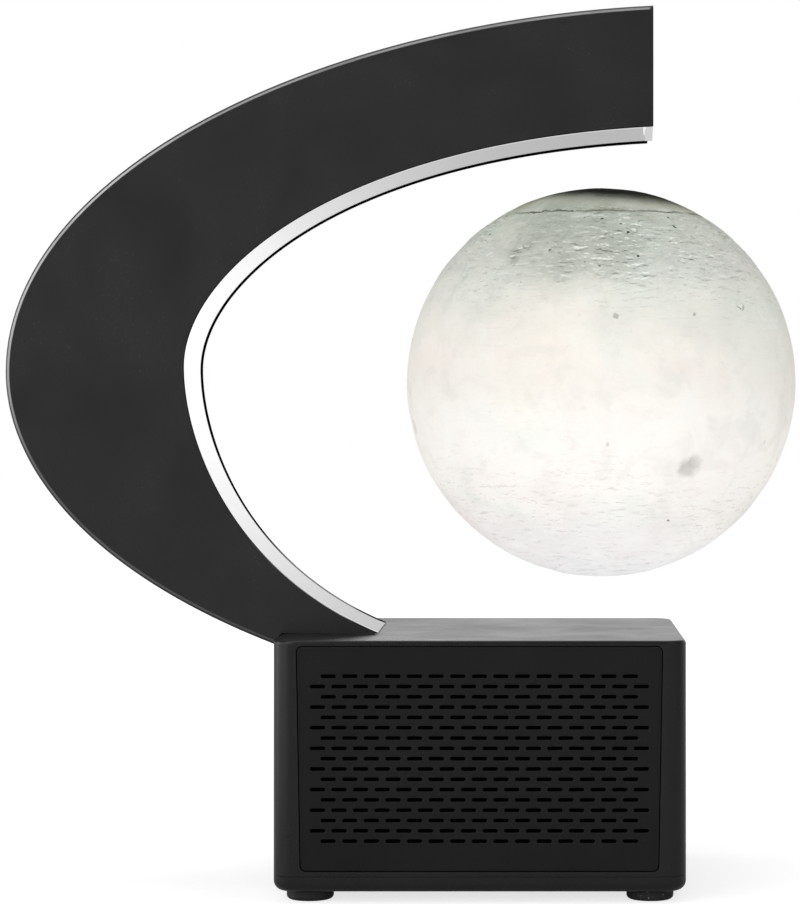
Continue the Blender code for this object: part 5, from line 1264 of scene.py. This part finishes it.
class MOONLAMP_OT_inner_parts(LampOperator, bpy.types.Operator):
    """Finishes for the pieces of the frame that show as they are"""
    bl_idname = "moonlamp.inner_parts"
    bl_label = "Inner parts"

    def execute(self, context):
        colours = context.scene.lamp_colours
        steel = metal("plain_steel", colours.steel, 0.38)
        winding = wound_wire("winding_wire", colours.copper)
        green = circuit_board("green_board", colours.board)
        paper = fibre("cone_paper", (0.035, 0.035, 0.035))
        screw = metal("blackened_steel", (0.10, 0.10, 0.105), 0.36)
        key = moulded("switch_plastic", (0.03, 0.03, 0.03), 0.5)
        looks = {
            "arm_reflector": fibre("reflector_white", (0.82, 0.82, 0.80), 0.7),
            "arm_led_strip": circuit_board("led_strip_board", (0.80, 0.76, 0.55)),
            "electromagnet_bobbin": moulded("bobbin_plastic", (0.05, 0.05, 0.055), 0.5),
            "arm_cable": moulded("cable_jacket", (0.06, 0.06, 0.06), 0.6),
            "speaker_basket": metal("basket_enamel", (0.05, 0.05, 0.05), 0.42, 0.3),
            "speaker_surround": moulded("surround_rubber", (0.015, 0.015, 0.015), 0.7),
            "speaker_spider": fibre("spider_cloth", (0.50, 0.34, 0.14)),
            "speaker_voice_coil": wound_wire("coil_wire", colours.copper, level_coil_surface),
            "moon_magnet": metal("magnet_nickel", (0.66, 0.64, 0.60), 0.25),
            "moon_led_board": circuit_board("white_board", (0.85, 0.85, 0.83)),
            "electromagnet_winding": winding, "wireless_power_coil": winding, "moon_receiver_coil": winding,
            "electromagnet_core": steel, "arm_mounting_plate": steel, "speaker_magnet": steel,
            "hall_sensor_board": green, "control_board": green,
            "speaker_cone": paper, "speaker_dust_cap": paper,
        }
        for name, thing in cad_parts.items():
            look = looks.get(name, screw if "screw" in name else key if name.startswith("switch") else None)
            if look:
                for place in thing.material_slots:
                    place.material = look
        return {"FINISHED"}


class MOONLAMP_OT_stage(LampOperator, bpy.types.Operator):
    """Pale floor, white surroundings, soft light and the camera"""
    bl_idname = "moonlamp.stage"
    bl_label = "Stage"

    FLOOR_GREY = (0.42, 0.42, 0.42)
    FLOOR_SIZE = 6.0
    # The camera that fits the photograph: place, and where its axis meets the 800 x 904 picture
    CAMERA = Vector((33.5, -743.0, 115.26)) * MM
    FOCAL_PIXELS = 2879.1
    AXIS_PIXEL = (537.0, 430.0)
    PICTURE = (800.0, 904.0)
    # Soft lamps turned to the middle: place, width, height, watts, seen in gloss, seen by matte surfaces
    MIDDLE = Vector((0.0, 0.0, 0.1))
    LAMPS = (
        ("key_light", (-0.75, -1.0, 0.95), 0.9, 0.9, 8.6, True, True),
        ("fill_light", (0.95, -0.8, 0.55), 0.9, 0.9, 2.0, True, True),
        ("top_light", (0.0, 0.15, 1.3), 1.2, 0.9, 7.0, True, True),
        ("left_strip", (-0.9, 0.25, 0.25), 0.25, 0.9, 2.0, True, True),
        ("left_wall", (-0.95, -0.25, 0.20), 1.3, 0.7, 5.5, True, False),
        ("right_strip", (0.95, 0.35, 0.25), 0.25, 0.9, 0.4, True, True),
        ("front_light", (0.05, -1.5, 0.25), 0.8, 0.8, 19.0, False, True),
    )

    def execute(self, context):
        self.add_camera()
        self.add_floor()
        self.add_world()
        bpy.context.scene.view_settings.view_transform = "Standard"
        for lamp in self.LAMPS:
            self.add_light(*lamp)
        return {"FINISHED"}

    def placed(self, name, data, place, turn=(0.0, 0.0, 0.0)):
        """Adds a camera, lamp or mesh to the scene."""
        thing = bpy.data.objects.new(name, data)
        thing.location = place
        thing.rotation_euler = turn
        bpy.context.scene.collection.objects.link(thing)
        return thing

    def add_camera(self):
        """Level, looking along +Y, with the picture's axis shifted as in the photograph."""
        lens = bpy.data.cameras.new("photo_camera")
        lens.sensor_fit = "VERTICAL"
        lens.sensor_height = 36.0
        lens.lens = self.FOCAL_PIXELS * lens.sensor_height / self.PICTURE[1]
        lens.shift_x = (self.PICTURE[0] / 2 - self.AXIS_PIXEL[0]) / self.PICTURE[1]
        lens.shift_y = (self.AXIS_PIXEL[1] - self.PICTURE[1] / 2) / self.PICTURE[1]
        lens.clip_start = 0.01
        lens.clip_end = 50.0
        bpy.context.scene.camera = self.placed("photo_camera", lens, self.CAMERA, (math.pi / 2, 0.0, 0.0))

    def add_light(self, name, place, width, height, power, in_gloss, in_matte):
        """One soft rectangular lamp."""
        lamp = bpy.data.lights.new(name, "AREA")
        lamp.shape = "RECTANGLE"
        lamp.size = width
        lamp.size_y = height
        lamp.energy = power
        turn = (self.MIDDLE - Vector(place)).to_track_quat("-Z", "Y").to_euler()
        thing = self.placed(name, lamp, place, turn)
        thing.visible_glossy = in_gloss
        thing.visible_diffuse = in_matte

    def add_floor(self):
        """A plain pale floor that keeps the lamp's shadow."""
        shape = bmesh.new()
        bmesh.ops.create_grid(shape, x_segments=1, y_segments=1, size=self.FLOOR_SIZE)
        mesh = bpy.data.meshes.new("floor")
        shape.to_mesh(mesh)
        shape.free()
        look = bpy.data.materials.new("pale_floor")
        look.use_nodes = True
        tree = look.node_tree
        tree.nodes.clear()
        rays = sources(tree, "LightPath")
        place = sources(tree, "TexCoord")["Object"]
        behind = split(place)[1].ease(0.0, 1.4, 0.12, 0.45)
        seen = (rays["Is Glossy Ray"] * behind).most(rays["Is Camera Ray"]).most(rays["Is Transmission Ray"])
        away = node(tree, "VectorMath", {0: place}, "Value", operation="LENGTH")
        level = seen * away.ease(0.16, 0.7, 0.72, 1.0)
        glow = node(tree, "Emission", {"Color": (1.0, 1.0, 1.0), "Strength": level})
        matte = node(tree, "BsdfDiffuse", {"Color": self.FLOOR_GREY})
        out = tree.nodes.new("ShaderNodeOutputMaterial")
        put(node(tree, "AddShader", {0: matte, 1: glow}), out.inputs["Surface"])
        mesh.materials.append(look)
        floor = self.placed("floor", mesh, (0.0, 0.0, 0.0))

    def add_world(self):
        """White to the camera and in gloss, darker behind the camera; gentle light for the rest."""
        world = bpy.data.worlds.new("studio")
        world.use_nodes = True
        tree = world.node_tree
        tree.nodes.clear()
        rays = sources(tree, "LightPath")
        in_gloss = rays["Is Glossy Ray"]
        _, y, z = split(sources(tree, "TexCoord")["Generated"])
        reflected = y.ease(0.35, 0.97) * z.ease(0.85, 0.35) * 0.90 + 0.10
        seen = rays["Is Camera Ray"].most(rays["Is Transmission Ray"]).most(in_gloss * reflected)
        level = seen.most((1.0 - in_gloss) * 0.18)
        light = node(tree, "Background", {"Color": (1.0, 1.0, 1.0), "Strength": level})
        put(light, tree.nodes.new("ShaderNodeOutputWorld").inputs["Surface"])
        bpy.context.scene.world = world


OPERATORS = (
    MOONLAMP_OT_stage, MOONLAMP_OT_arm_shells, MOONLAMP_OT_light_band, MOONLAMP_OT_moon, MOONLAMP_OT_housing,
    MOONLAMP_OT_front_panel, MOONLAMP_OT_cover_and_feet, MOONLAMP_OT_rear_controls, MOONLAMP_OT_inner_parts,
)
GROUPS = {"lamp_arm": LampArmSizes, "lamp_moon": LampMoonSizes, "lamp_base": LampBaseSizes,
          "lamp_colours": LampColours}


class MOONLAMP_PT_pieces(bpy.types.Panel):
    """Buttons for each piece of the lamp, and its sizes and colours"""
    bl_idname = "MOONLAMP_PT_pieces"
    bl_label = "Moon lamp"
    bl_space_type = "VIEW_3D"
    bl_region_type = "UI"
    bl_category = "Moon lamp"

    def draw(self, context):
        for operator in OPERATORS:
            self.layout.operator(operator.bl_idname)
        for name in GROUPS:
            part = self.layout.box()
            for size in GROUPS[name].__annotations__:
                part.prop(getattr(context.scene, name), size)


def register():
    """Adds the classes and the scene's property groups."""
    for name, kind in GROUPS.items():
        bpy.utils.register_class(kind)
        setattr(bpy.types.Scene, name, bpy.props.PointerProperty(type=kind))
    for kind in (*OPERATORS, MOONLAMP_PT_pieces):
        bpy.utils.register_class(kind)


def unregister():
    """Takes them away again."""
    for kind in (MOONLAMP_PT_pieces, *reversed(OPERATORS)):
        bpy.utils.unregister_class(kind)
    for name, kind in GROUPS.items():
        delattr(bpy.types.Scene, name)
        bpy.utils.unregister_class(kind)


def main():
    """Makes every piece and the stage."""
    register()
    for operator in OPERATORS:
        group_name, call = operator.bl_idname.split(".")
        getattr(getattr(bpy.ops, group_name), call)()
    bpy.context.view_layer.update()


if __name__ == "__main__":
    main()
